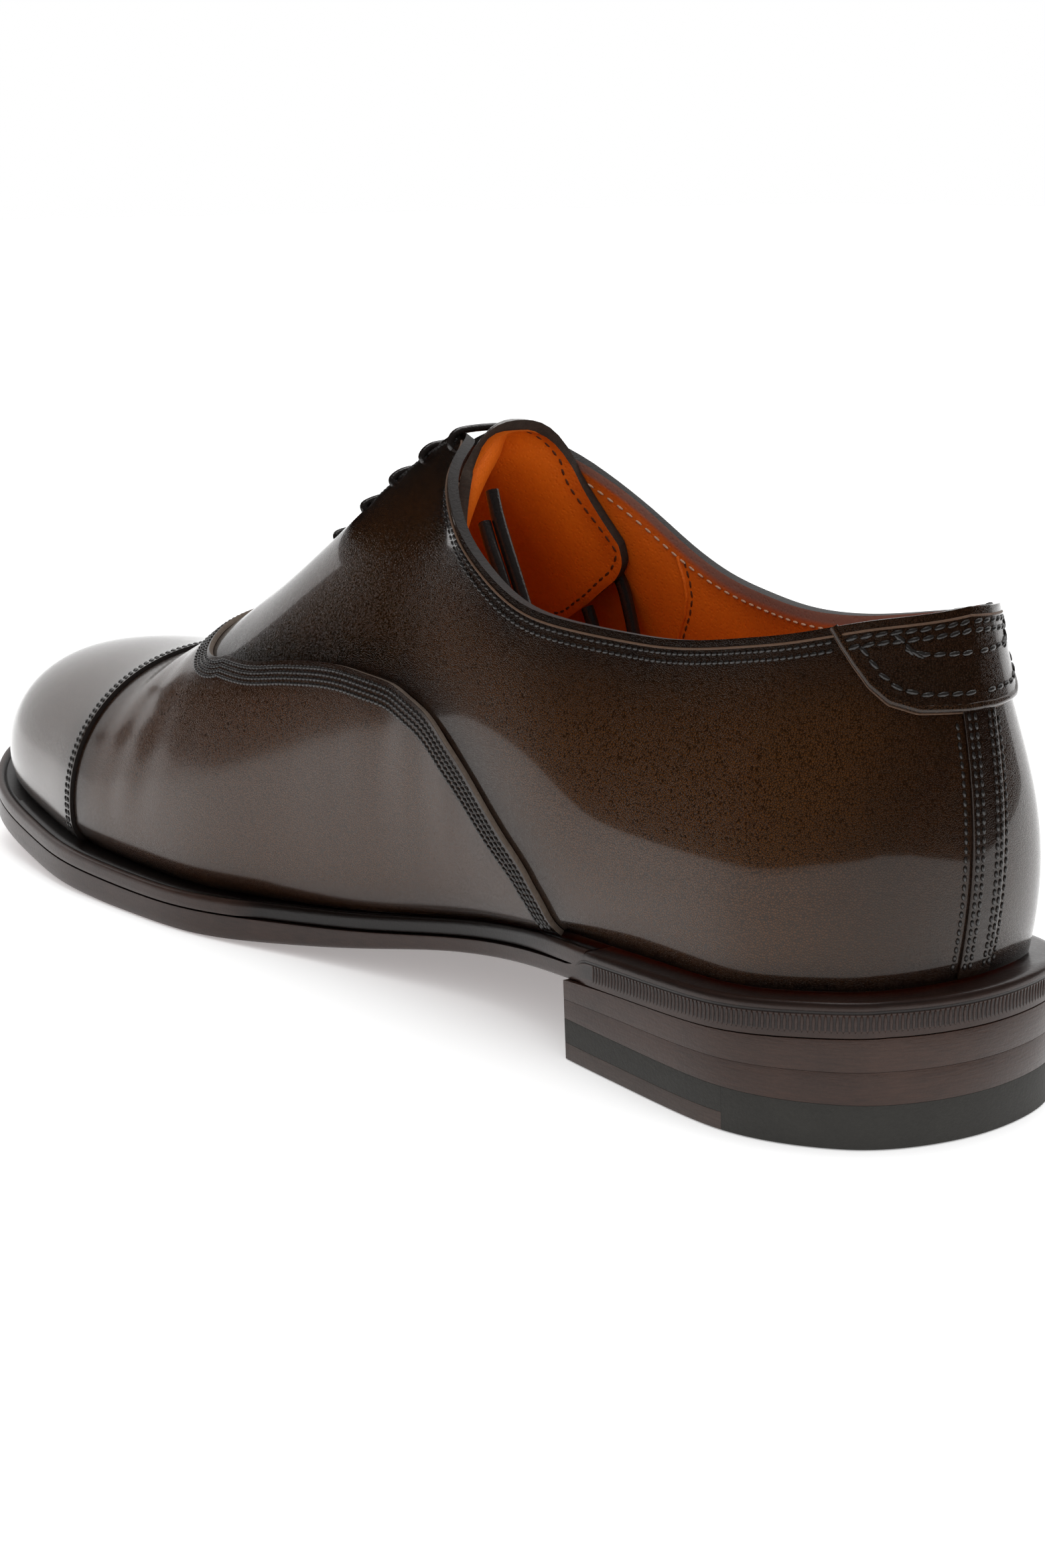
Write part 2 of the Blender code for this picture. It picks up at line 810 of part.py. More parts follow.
def make_lace():
    # One lace in bars: across the slit outside, then up to the next pair inside.
    route = []
    side = MEDIAL
    still = Vector((0.0, 0.0, 0.0))
    arrived = still
    for pair in reversed(range(LACE_PAIRS)):
        end = lace_hole(pair, -side)[0]
        bar = (over_edge(pair, side) - lace_hole(pair, side)[0]).normalized()
        leaving = (lace_hole(pair - 1, -side)[0] - end).normalized() if pair else still
        route += through_hole(pair, side, bar, -arrived)
        route += [over_edge(pair, side), over_edge(pair, -side)]
        back = (over_edge(pair, -side) - end).normalized()
        route += through_hole(pair, -side, back, leaving)[::-1]
        arrived = leaving
        side = -side
    wax = leather("lace_wax", (0.02, 0.015, 0.012), 0.35)
    tube("lace", smooth_path(route, LACE_STEP), LACE_RADIUS, wax)


def make_lace_ends():
    wax = leather("lace_end_wax", (0.02, 0.015, 0.012), 0.35)
    tube("lace_end_medial", smooth_path(LACE_END_MEDIAL, CORD_STEP), LACE_RADIUS, wax)
    tube("lace_end_lateral", smooth_path(LACE_END_LATERAL, CORD_STEP), LACE_RADIUS, wax.copy())


clear_scene()
parts = new_collection("cap_toe_oxford")
cutters = new_collection("cutters")
shoe = bpy.data.objects.new("shoe", None)
shoe.location = (-CENTRE[0] * MM, -CENTRE[1] * MM, 0.0)
parts.objects.link(shoe)

make_upper()
make_vamp()
make_toe_cap()
make_heel_tab()
make_tongue()
make_insole()
make_welt()
make_outsole()
make_heel()
make_lace()
make_lace_ends()
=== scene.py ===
import math
import bpy
import numpy as np
from mathutils import Euler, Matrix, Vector


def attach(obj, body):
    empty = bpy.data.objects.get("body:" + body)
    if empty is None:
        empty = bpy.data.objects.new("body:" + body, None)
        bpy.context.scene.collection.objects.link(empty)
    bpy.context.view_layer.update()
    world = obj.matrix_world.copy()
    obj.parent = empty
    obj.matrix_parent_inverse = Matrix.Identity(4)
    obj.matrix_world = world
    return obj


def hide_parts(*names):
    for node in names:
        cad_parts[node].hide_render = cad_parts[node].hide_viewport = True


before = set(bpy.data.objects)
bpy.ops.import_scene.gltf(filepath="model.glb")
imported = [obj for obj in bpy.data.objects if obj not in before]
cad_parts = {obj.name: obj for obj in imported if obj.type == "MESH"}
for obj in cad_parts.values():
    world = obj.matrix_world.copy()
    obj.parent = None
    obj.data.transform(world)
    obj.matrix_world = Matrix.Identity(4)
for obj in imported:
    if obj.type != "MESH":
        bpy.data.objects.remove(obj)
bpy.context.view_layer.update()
bpy.ops.object.select_all(action="DESELECT")

mm = 0.001
lateral, medial = 1, -1
bothSides = (lateral, medial)
shoeMiddle = np.array((3.55, 145.8, 0.0))  # taken off every place, so the shoe stands round the origin


def toMetres(places):
    return (np.asarray(places, float) - shoeMiddle) * mm


# camera at the photo's viewing angle
photoView = {
    "target": (0.0, 140.0, 50.0), "azimuth": -36.84, "elevation": 11.26, "distance": 555.26,
    "roll": -0.3, "lens": 62.94, "shiftX": 0.0406, "shiftY": -0.0529,
}


def setCamera(view):
    turn, tilt = math.radians(view["azimuth"]), math.radians(view["elevation"])
    away = np.array((math.sin(turn) * math.cos(tilt), -math.cos(turn) * math.cos(tilt), math.sin(tilt)))
    place = Vector(toMetres(np.array(view["target"]) + away * view["distance"]))
    bpy.ops.object.camera_add(location=place)
    camera = bpy.context.object
    camera.name = "photoCamera"
    aim = Vector(-away).to_track_quat("-Z", "Y")
    camera.rotation_euler = (aim @ Euler((0, 0, math.radians(view["roll"]))).to_quaternion()).to_euler()
    camera.data.lens = view["lens"]
    camera.data.shift_x = view["shiftX"]
    camera.data.shift_y = view["shiftY"]
    camera.data.clip_start = 0.01
    bpy.context.scene.camera = camera


setCamera(photoView)
print("camera set")


class Wire:  # a shader socket that adds, subtracts and multiplies as a number does
    def __init__(self, finish, socket):
        self.finish, self.socket = finish, socket

    def reckon(self, kind, first, second):
        return self.finish.node("Math", {"operation": kind}, {0: first, 1: second})

    def __add__(self, other):
        return self.reckon("ADD", self, other)

    def __radd__(self, other):
        return self.reckon("ADD", other, self)

    def __sub__(self, other):
        return self.reckon("SUBTRACT", self, other)

    def __rsub__(self, other):
        return self.reckon("SUBTRACT", other, self)

    def __mul__(self, other):
        return self.reckon("MULTIPLY", self, other)

    def __rmul__(self, other):
        return self.reckon("MULTIPLY", other, self)

    def share(self):  # held between 0 and 1
        return self.reckon("MINIMUM", self.reckon("MAXIMUM", self, 0.0), 1.0)

    def fade(self, low, high):  # 0 below low, 1 above high
        sockets = {"Value": self, "From Min": low, "From Max": high}
        return self.finish.node("MapRange", {"interpolation_type": "SMOOTHSTEP"}, sockets)


class Finish:  # one material and the nodes behind it
    def __init__(self, name, **fixed):
        self.material = bpy.data.materials.new(name)
        self.material.use_nodes = True
        self.tree = self.material.node_tree
        self.shader = self.tree.nodes["Principled BSDF"]
        for socket, value in fixed.items():
            self.shader.inputs[socket.replace("_", " ")].default_value = value

    def feed(self, socket, value):
        if isinstance(value, Wire):
            self.tree.links.new(value.socket, socket)
        elif isinstance(value, tuple) and len(value) == 3 and socket.type == "RGBA":
            socket.default_value = (*value, 1.0)
        else:
            socket.default_value = value

    def node(self, kind, settings, sockets, out=0):
        made = self.tree.nodes.new("ShaderNode" + kind)
        for key, value in settings.items():
            setattr(made, key, value)
        for key, value in sockets.items():
            self.feed(made.inputs[key], value)
        return Wire(self, made.outputs[out])

    def place(self):
        return self.node("TexCoord", {}, {}, "Object")

    def mark(self, name):
        return self.node("Attribute", {"attribute_name": name}, {}, "Fac")

    def stretch(self, scale):
        return self.node("Mapping", {}, {"Vector": self.place(), "Scale": scale})

    def noise(self, scale, detail=3.0, rough=0.55, place=None):
        sockets = {"Vector": place or self.place(), "Scale": scale, "Detail": detail, "Roughness": rough}
        return self.node("TexNoise", {}, sockets)

    def cells(self, scale, feature="F1", place=None):
        sockets = {"Vector": place or self.place(), "Scale": scale}
        return self.node("TexVoronoi", {"feature": feature}, sockets, "Distance")

    def blend(self, share, first, second):
        return self.node("Mix", {"data_type": "RGBA"}, {0: share, 6: first, 7: second}, 2)

    def scaled(self, vector, amount):  # a colour lighter or darker, a vector longer or shorter
        return self.node("VectorMath", {"operation": "SCALE"}, {0: vector, "Scale": amount})

    def bump(self, height, depth):
        return self.node("Bump", {}, {"Height": height, "Distance": depth, "Strength": 1.0})

    def wear(self, colour, roughness, normal, coat=0.0):
        worn = {"Base Color": colour, "Roughness": roughness, "Normal": normal, "Coat Weight": coat}
        for socket, value in worn.items():
            self.feed(self.shader.inputs[socket], value)
        return self.material


# finishes of the leathers, threads and edges: scale of each pattern, depth of the bump in metres
calfWax = {"Coat_IOR": 1.5, "Specular_IOR_Level": 0.18, "Specular_Tint": (1.0, 0.84, 0.72, 1.0)}
calfGrain = {"drift": 32.0, "mottle": 340.0, "wander": 900.0, "sway": 0.0006, "pores": 2500.0, "depth": 0.00004}
liningGrain = {"drift": 45.0, "fibre": 900.0, "pores": 1300.0, "depth": 0.00014, "trim": (0.2, 0.095, 0.07)}
edgeGrain = {"drift": 160.0, "fibre": 1400.0, "depth": 0.00018}
threadGrain = {"twist": 2200.0, "depth": 0.0001}
waxGrain = {"drift": 70.0, "streak": 260.0, "speck": 1700.0, "depth": 0.00012, "seatDepth": 0.0003}


def polishedCalf(name, glow, deep, roughness, coat, blur=0.07, pore=1.0):
    finish = Finish(name, Coat_Roughness=blur, **calfWax)
    drift = finish.noise(calfGrain["drift"])
    mottle = finish.noise(calfGrain["mottle"], 5.0, 0.7)
    wanderSockets = {"Vector": finish.place(), "Scale": calfGrain["wander"], "Detail": 2.0}
    sway = finish.scaled(finish.node("TexNoise", {}, wanderSockets, "Color"), calfGrain["sway"])
    bent = finish.node("VectorMath", {"operation": "ADD"}, {0: finish.place(), 1: sway})
    lines = 1.0 - finish.cells(calfGrain["pores"], "DISTANCE_TO_EDGE", bent).fade(0.02, 0.22)
    # the marked darkening is burnish, and painted shade along the feather edge where the upper turns under
    dark = (finish.mark("burnish") + (drift - 0.5) * 0.45 + (mottle - 0.5) * 0.4).share()
    colour = finish.scaled(finish.blend(dark, glow, deep), 1.5 - lines * 1.25 * (1.0 - dark * 0.45))
    gloss = roughness + (mottle - 0.5) * 0.08 + (drift - 0.5) * 0.05
    height = (mottle - 0.5) * 0.4 - lines * 0.6
    return finish.wear(colour, gloss, finish.bump(height, calfGrain["depth"] * pore), coat)


def liningHide(name, light, deep, roughness=0.5):
    finish = Finish(name, Specular_IOR_Level=0.2)
    drift = finish.noise(liningGrain["drift"])
    fibre = finish.noise(liningGrain["fibre"], 4.0, 0.7)
    pores = finish.cells(liningGrain["pores"])
    shade = ((drift - 0.5) * 0.9 + (fibre - 0.5) * 0.5 + 0.35 + finish.mark("edge") * 0.6).share()
    colour = finish.blend(finish.mark("trim"), finish.blend(shade, light, deep), liningGrain["trim"])
    height = fibre * 0.6 + pores.fade(0.0, 0.5) * 0.4
    return finish.wear(colour, roughness + (fibre - 0.5) * 0.15, finish.bump(height, liningGrain["depth"]))


def cutEdge(name, light, deep, roughness=0.6):
    finish = Finish(name, Specular_IOR_Level=0.25)
    fibre = finish.noise(edgeGrain["fibre"], 4.0, 0.7)
    drift = finish.noise(edgeGrain["drift"], 2.0)
    colour = finish.blend((fibre * 0.8 + drift * 0.5 - 0.15).share(), light, deep)
    return finish.wear(colour, roughness, finish.bump(fibre, edgeGrain["depth"]))


def waxedThread(name, light, deep, roughness, shine=0.3):
    finish = Finish(name, Specular_IOR_Level=shine)
    twist = finish.noise(threadGrain["twist"], 2.0)
    return finish.wear(finish.blend(twist, light, deep), roughness, finish.bump(twist, threadGrain["depth"]))


def waxFibres(finish, stretch):
    grain = finish.noise(waxGrain["streak"], 4.0, 0.6, finish.stretch(stretch))
    drift = finish.noise(waxGrain["drift"])
    speck = finish.noise(waxGrain["speck"], 3.0, 0.7)
    return grain, speck, grain * 0.75 + drift * 0.6 + speck * 0.25 - 0.35


def waxedEdge(name, light, deep, roughness, coat, stretch=(1.0, 1.0, 9.0)):
    finish = Finish(name, Coat_Roughness=0.2, Specular_IOR_Level=0.25)
    grain, speck, shade = waxFibres(finish, stretch)
    normal = finish.bump(grain * 0.6 + speck * 0.4, waxGrain["depth"])
    return finish.wear(finish.blend(shade.share(), light, deep), roughness + (speck - 0.5) * 0.2, normal, coat)


def seatBand(finish, low, high, soft):  # 1 between two heights of the heel seat's edge
    down = finish.mark("down")
    return finish.mark("seat") * down.fade(low, low + soft) * (1.0 - down.fade(high, high + soft))


def soleEdgeWax(name, light, deep, roughness, coat):
    finish = Finish(name, Coat_Roughness=0.2, Specular_IOR_Level=0.25)
    grain, speck, shade = waxFibres(finish, (1.0, 1.0, 7.0))
    groove = seatBand(finish, 0.22, 0.3, 0.05)
    wheeled = seatBand(finish, 0.36, 0.76, 0.04)
    colour = finish.blend((shade + groove * 0.7).share(), light, deep)
    # the marked darkening is painted shade on the seat's top lip and in the welt's crease under the upper, and at the
    # waist black ink with painted shade
    colour = finish.scaled(colour, (1.0 - finish.mark("dim") * 0.82) * (1.0 - wheeled * 0.6))
    normal = finish.bump(grain * 0.12 + speck * 0.1 - groove, waxGrain["seatDepth"])
    return finish.wear(colour, roughness + (speck - 0.5) * 0.2, normal, coat)


finishes = {
    "quarter": polishedCalf("quarterCalf", (0.035, 0.0128, 0.0032), (0.0035, 0.0017, 0.0012), 0.17, 0.45),
    "vamp": polishedCalf("vampCalf", (0.043, 0.0172, 0.0065), (0.0075, 0.0035, 0.0022), 0.22, 0.5, 0.17),
    "cap": polishedCalf("capCalf", (0.036, 0.0165, 0.008), (0.008, 0.0042, 0.0028), 0.17, 1.0, 0.2, 0.5),
    "tab": polishedCalf("tabCalf", (0.016, 0.0068, 0.0028), (0.004, 0.002, 0.0015), 0.18, 0.5),
    "lining": liningHide("liningHide", (0.66, 0.13, 0.006), (0.36, 0.058, 0.003)),
    "tongueLining": liningHide("tongueLining", (0.8, 0.17, 0.007), (0.5, 0.085, 0.004)),
    "sock": liningHide("sockHide", (0.56, 0.13, 0.012), (0.34, 0.07, 0.008), 0.55),
    "darkEdge": cutEdge("darkEdge", (0.014, 0.008, 0.006), (0.004, 0.003, 0.0025), 0.5),
    # pale colour on the vamp's cut edge, a painted highlight along its rounded lip
    "paleHighlightEdge": cutEdge("paleHighlightEdge", (0.17, 0.13, 0.1), (0.05, 0.035, 0.027)),
    "rawEdge": cutEdge("rawEdge", (0.05, 0.033, 0.023), (0.008, 0.005, 0.004), 0.85),
    "bead": cutEdge("beadLeather", (0.12, 0.066, 0.038), (0.045, 0.024, 0.014), 0.45),
    "darkThread": waxedThread("darkThread", (0.014, 0.011, 0.0095), (0.005, 0.004, 0.0035), 0.3, 0.6),
    "paleThread": waxedThread("paleThread", (0.55, 0.36, 0.26), (0.3, 0.17, 0.1), 0.6),
    "rawThread": waxedThread("tongueThread", (0.11, 0.03, 0.008), (0.05, 0.014, 0.005), 0.6),
    "cord": waxedThread("waxedCord", (0.013, 0.009, 0.008), (0.005, 0.004, 0.0035), 0.22, 0.6),
    # dark wax worn only by the outsole's top faces, as painted shade in the gap under the upper
    "welt": waxedEdge("shelfShadeWax", (0.024, 0.011, 0.008), (0.006, 0.0035, 0.0028), 0.34, 0.35),
    "soleEdge": soleEdgeWax("soleEdgeWax", (0.042, 0.021, 0.015), (0.008, 0.0045, 0.0035), 0.34, 0.15),
    "lift": waxedEdge("liftWax", (0.05, 0.024, 0.016), (0.009, 0.005, 0.004), 0.36, 0.12),
    "corner": waxedEdge("cornerWax", (0.064, 0.043, 0.035), (0.016, 0.011, 0.009), 0.42, 0.1),
    "tread": waxedEdge("treadHide", (0.12, 0.028, 0.014), (0.055, 0.012, 0.008), 0.5, 0.1, (1.0, 1.0, 1.0)),
    "rubber": cutEdge("heelRubber", (0.034, 0.032, 0.028), (0.02, 0.019, 0.017), 0.6),
}
print("finishes mixed")


# mesh tools
def pick(*pieces):
    bpy.ops.object.select_all(action="DESELECT")
    for piece in pieces:
        piece.select_set(True)
    bpy.context.view_layer.objects.active = pieces[0]


def shapeGrid(name, places, marks, turned=False):
    rows, columns = places.shape[:2]  # a flat grid whose points then move to their places
    bpy.ops.mesh.primitive_grid_add(x_subdivisions=rows - 1, y_subdivisions=columns - 1, size=1.0)
    piece = bpy.context.object
    piece.name = name
    flat = np.empty(len(piece.data.vertices) * 3)
    piece.data.vertices.foreach_get("co", flat)
    flat = flat.reshape(-1, 3)
    i = np.rint((flat[:, 0] + 0.5) * (rows - 1)).astype(int)
    j = np.rint((flat[:, 1] + 0.5) * (columns - 1)).astype(int)
    piece.data.vertices.foreach_set("co", toMetres(places[i, j]).ravel())
    for mark, values in marks.items():
        layer = piece.data.attributes.new(mark, "FLOAT", "POINT")
        layer.data.foreach_set("value", np.ascontiguousarray(values[i, j], dtype=np.float32))
    if turned:
        pick(piece)
        bpy.ops.object.mode_set(mode="EDIT")
        bpy.ops.mesh.select_all(action="SELECT")
        bpy.ops.mesh.flip_normals()
        bpy.ops.object.mode_set(mode="OBJECT")
    piece.data.update()
    return piece


def weld(piece, gap, fill=False):
    pick(piece)
    bpy.ops.object.mode_set(mode="EDIT")
    bpy.ops.mesh.select_all(action="SELECT")
    bpy.ops.mesh.remove_doubles(threshold=gap * mm)
    if fill:
        bpy.ops.mesh.fill_holes(sides=0)
        bpy.ops.mesh.select_all(action="SELECT")
        bpy.ops.mesh.normals_make_consistent(inside=False)
    bpy.ops.object.mode_set(mode="OBJECT")


def alter(piece, kind, **settings):
    step = piece.modifiers.new(kind.lower(), kind)
    for key, value in settings.items():
        setattr(step, key, value)
    pick(piece)
    bpy.ops.object.modifier_apply(modifier=step.name)


def lift(piece, height):
    alter(piece, "DISPLACE", mid_level=0.0, strength=height * mm)


def thicken(piece, thickness, offset, inner=0, rim=0):
    alter(piece, "SOLIDIFY", thickness=thickness * mm, offset=offset, use_even_offset=False,
          use_quality_normals=True, material_offset=inner, material_offset_rim=rim)


def softenEdges(piece, width, segments=2, angle=50.0):
    alter(piece, "BEVEL", width=width * mm, segments=segments, limit_method="ANGLE",
          angle_limit=math.radians(angle), use_clamp_overlap=True)


def settle(piece, node, angle=40.0):
    pick(piece)
    bpy.ops.object.shade_smooth_by_angle(angle=math.radians(angle))
    piece.data.name = piece.name
    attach(piece, "root")
    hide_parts(node)


def dress(piece, *names):
    piece.data.materials.clear()
    for name in names:
        piece.data.materials.append(finishes[name])


def joinHalves(name, drawHalf, turnedSide, gap=0.05):
    halves = []
    for side in bothSides:
        places, marks = drawHalf(side)
        halves.append(shapeGrid(name + "Half", places, marks, side == turnedSide))
    pick(*halves)
    bpy.ops.object.join()
    piece = bpy.context.object
    piece.name = name
    weld(piece, gap)
    return piece


def layPanel(piece, panel, node):
    dress(piece, *panel["finishes"])
    lift(piece, panel["gap"])
    thicken(piece, panel["thick"], 1.0, 0, 2)
    softenEdges(piece, panel["round"], panel["bevels"])
    settle(piece, node)


def ringPiece(name, rings, marks=None):
    around = np.concatenate((rings, rings[:, :1]), 1)  # closed by its first point
    marks = {key: np.concatenate((value, value[:, :1]), 1) for key, value in (marks or {}).items()}
    piece = shapeGrid(name, around, marks)
    weld(piece, 0.01, True)
    return piece


# the last: sections from heel (way 0) to toe (way 1), each from feather edge (rise 0) to top (rise 1)
last = {
    "length": 290.0, "ballWidth": 84.0, "instep": 107.0, "heelRise": 25.8, "toeSlope": 0.28,
    "heelLean": 4.1, "heelBulge": -4.5, "heelReach": 0.26, "throat": 189.8, "throatSoft": 8.0,
    "tuckRise": 0.07, "tuckDepth": 1.6, "tuckStart": (0.28, 0.4),  # the leather turns in above the welt
    "feather": (  # way, lateral and medial reach in percent of ball width, height in percent of heel rise
        (0.00, 0.0, 0.0, 100.0), (0.10, 26.2, -25.0, 98.5), (0.20, 33.9, -35.5, 92.5), (0.30, 35.7, -32.7, 86.0),
        (0.40, 37.5, -28.0, 66.5), (0.50, 45.2, -35.1, 42.0), (0.60, 54.2, -44.6, 33.5), (0.68, 54.2, -45.8, 36.0),
        (0.75, 45.8, -42.3, 44.0), (0.82, 33.3, -37.5, 55.0), (0.90, 16.1, -26.0, 68.5), (0.95, 5.4, -16.7, 74.4),
        (1.00, -6.0, -6.0, 76.4),
    ),
    "topline": (  # way, lateral and medial reach in percent of ball width, height in percent of instep
        (0.000, 0.0, 0.0, 81.0), (0.100, 15.5, -15.8, 79.7), (0.200, 25.8, -25.6, 75.6), (0.295, 26.0, -26.7, 72.0),
        (0.362, 29.8, -32.4, 74.0), (0.404, 26.0, -32.4, 82.8), (0.434, 14.9, -25.6, 94.4), (0.456, 4.8, -9.5, 100.2),
        (0.511, 1.4, -5.5, 90.3), (0.600, -2.3, -2.3, 66.0), (0.700, -3.7, -3.7, 44.8), (0.774, -4.2, -4.2, 43.0),
        (0.840, -4.9, -4.9, 40.0), (0.900, -5.2, -5.2, 33.6), (0.950, -5.7, -5.7, 27.1), (1.000, -6.0, -6.0, 18.42),
    ),
    "bulge": (  # way, lateral and medial bulge, its height, shoulder, drop of the shoulder
        (0.00, 0.0, 0.0, 0.39, 0.00, 0.35), (0.10, 3.0, 3.0, 0.44, 0.08, 0.35), (0.20, 4.5, 5.5, 0.38, 0.10, 0.35),
        (0.30, 5.5, 9.5, 0.34, 0.16, 0.35), (0.36, 6.0, 12.5, 0.31, 0.17, 0.30), (0.42, 6.5, 13.5, 0.30, 0.21, 0.25),
        (0.46, 6.3, 11.5, 0.33, 0.50, 0.19), (0.50, 6.0, 9.8, 0.38, 0.48, 0.12), (0.60, 5.0, 6.0, 0.46, 0.50, 0.05),
        (0.70, 4.5, 5.0, 0.56, 0.60, 0.02), (0.82, 4.0, 5.5, 0.56, 0.59, 0.00), (0.92, 3.0, 3.0, 0.55, 0.57, 0.00),
        (1.00, 0.0, 0.0, 0.55, 0.56, 0.00),
    ),
}


def splineSlopes(xs, ys):
    steps = np.diff(xs)
    rises = np.diff(ys) / steps
    slopes = [rises[0]]
    for before, after, left, right in zip(rises, rises[1:], steps, steps[1:]):
        if before * after <= 0:  # the line turns here, so it is level
            slopes.append(0.0)
        else:
            slopes.append(3 * (left + right) / ((2 * right + left) / before + (right + 2 * left) / after))
    return np.array(slopes + [rises[-1]])


def readRows(rows, column, x, blur=0.0):
    xs, ys = np.array([(row[0], row[column]) for row in rows]).T
    slopes = splineSlopes(xs, ys)
    x = np.clip(np.asarray(x, float), xs[0], xs[-1])
    reach = np.minimum(blur, np.minimum(x - xs[0], xs[-1] - x))  # evens out the kinks between the rows
    total = 0.0
    for shift, weight in ((-1.0, 1), (-0.5, 2), (0.0, 3), (0.5, 2), (1.0, 1)):
        at = x + shift * reach
        i = np.clip(np.searchsorted(xs, at, side="right") - 1, 0, len(xs) - 2)
        h = xs[i + 1] - xs[i]
        t = (at - xs[i]) / h
        value = ys[i] * (1 + 2 * t) * (1 - t) ** 2 + ys[i + 1] * t * t * (3 - 2 * t)
        total = total + weight * (value + h * (slopes[i] * t * (1 - t) ** 2 - slopes[i + 1] * t * t * (1 - t)))
    return total / 9


def smoothStep(low, high, x):
    t = np.clip((np.asarray(x, float) - low) / (high - low), 0.0, 1.0)
    return t * t * (3 - 2 * t)


def distanceOf(way):
    return last["length"] * (1 - np.cos(np.pi * np.asarray(way, float))) / 2


def wayOf(distance):
    return np.arccos(1 - 2 * np.clip(np.asarray(distance, float) / last["length"], 0.0, 1.0)) / np.pi


def sideColumn(side):
    return 1 if side == lateral else 2


def unit(vectors):
    return vectors / np.maximum(np.linalg.norm(vectors, axis=-1, keepdims=True), 1e-9)


def featherEdge(way, side):
    reach = readRows(last["feather"], sideColumn(side), way, 0.02) * last["ballWidth"] / 100
    height = readRows(last["feather"], 3, way, 0.03) * last["heelRise"] / 100
    return np.stack((reach, distanceOf(way), height), -1)


def toplineEdge(way, side):
    own = readRows(last["topline"], sideColumn(side), way, 0.012)
    other = readRows(last["topline"], sideColumn(-side), way, 0.012)
    apart = 1 - smoothStep(last["throat"] - last["throatSoft"], last["throat"], distanceOf(way))
    reach = (own + other) / 2 + (own - other) / 2 * apart
    height = readRows(last["topline"], 3, way, 0.02)
    return np.stack((reach * last["ballWidth"] / 100, distanceOf(way), height * last["instep"] / 100), -1)


def upperFace(way, rise, side):
    way, rise = np.broadcast_arrays(np.asarray(way, float), np.asarray(rise, float))
    low, top = featherEdge(way, side), toplineEdge(way, side)
    tall = top[..., 2] - low[..., 2]
    bulge = low[..., 0] + side * readRows(last["bulge"], sideColumn(side), way, 0.03)
    even = readRows(last["topline"], sideColumn(side), way, 0.06) * last["ballWidth"] / 100
    facing = smoothStep(0.3, 0.4, way) * (1 - smoothStep(0.5, 0.6, way))
    even = top[..., 0] + (even - top[..., 0]) * facing  # rounds off the collar's corner
    shoulder = even + readRows(last["bulge"], 4, way, 0.03) * (bulge - even)
    bulgeHeight = low[..., 2] + readRows(last["bulge"], 3, way, 0.03) * tall
    shoulderHeight = top[..., 2] - readRows(last["bulge"], 5, way, 0.03) * tall
    fall = 1 - rise
    a, b, c, d = fall**3, 3 * rise * fall**2, 3 * rise**2 * fall, rise**3
    heel = 1 - smoothStep(0.0, last["heelReach"], way)
    lean = last["heelLean"] * rise**2 + last["heelBulge"] * 3 * rise * fall * (1.3 - 0.75 * rise)
    return np.stack((
        a * low[..., 0] + b * bulge + c * shoulder + d * top[..., 0],
        low[..., 1] + heel * lean,
        a * low[..., 2] + b * bulgeHeight + c * shoulderHeight + d * top[..., 2],
    ), -1)


def faceNormal(way, rise, side, step=0.004):
    way, rise = np.broadcast_arrays(np.asarray(way, float), np.asarray(rise, float))
    ahead, behind = np.minimum(way + step, 1.0), np.maximum(way - step, 0.0)
    above, below = np.minimum(rise + step, 1.0), np.maximum(rise - step, 0.0)
    along = upperFace(ahead, rise, side) - upperFace(behind, rise, side)
    up = upperFace(way, above, side) - upperFace(way, below, side)
    return unit(np.cross(along, up) * side)


# soft folds across the vamp: distance from the heel at the feather edge and at the ridge, width, depth,
# lowest and highest rise, medial and lateral share
vampFolds = {
    "rows": (
        (222.0, 219.0, 4.0, 0.14, 0.2, 0.78, 1.0, 0.6),
        (213.0, 208.0, 4.6, 0.2, 0.16, 0.84, 1.0, 0.7),
        (203.0, 196.0, 5.0, 0.15, 0.18, 0.8, 1.0, 0.5),
    ),
    "sway": 1.2, "ripple": 9,
}


def foldDepth(way, rise, side):
    distance = distanceOf(way)
    total = np.zeros(np.broadcast(way, rise).shape)
    for low, high, width, depth, start, end, nearShare, farShare in vampFolds["rows"]:
        line = low + (high - low) * rise + vampFolds["sway"] * np.sin(rise * vampFolds["ripple"] + low)
        reach = smoothStep(start - 0.12, start + 0.08, rise) * (1 - smoothStep(end - 0.1, end + 0.1, rise))
        share = nearShare if side == medial else farShare
        t = (distance - line) / width
        crease = 0.5 * np.exp(-((t - 1.5) ** 2)) + 0.5 * np.exp(-((t + 1.5) ** 2)) - np.exp(-t * t)
        total += share * depth * reach * crease
    return total


def wornFace(way, rise, side, height=0.0):  # the lasted leather, or a place that far over it
    normal = faceNormal(way, rise, side)
    tuck = np.clip(1 - np.asarray(rise, float) / last["tuckRise"], 0, 1) ** 2 * last["tuckDepth"]
    tuck = tuck * smoothStep(*last["tuckStart"], way)
    worn = upperFace(way, rise, side) + normal * (foldDepth(way, rise, side) - tuck)[..., None]
    return worn + normal * np.asarray(height, float)[..., None]


def findRise(way, side, column, value, fullest=0.35):
    low, high = np.zeros(np.shape(way)), np.ones(np.shape(way))
    rising = upperFace(way, 1.0, side)[..., column] > upperFace(way, fullest, side)[..., column]
    low = low + (fullest if column == 0 else 0.0)  # across the shoe, only the part over the bulge is searched
    for _ in range(40):
        half = (low + high) / 2
        under = (upperFace(way, half, side)[..., column] < value) == rising
        low, high = np.where(under, half, low), np.where(under, high, half)
    return (low + high) / 2


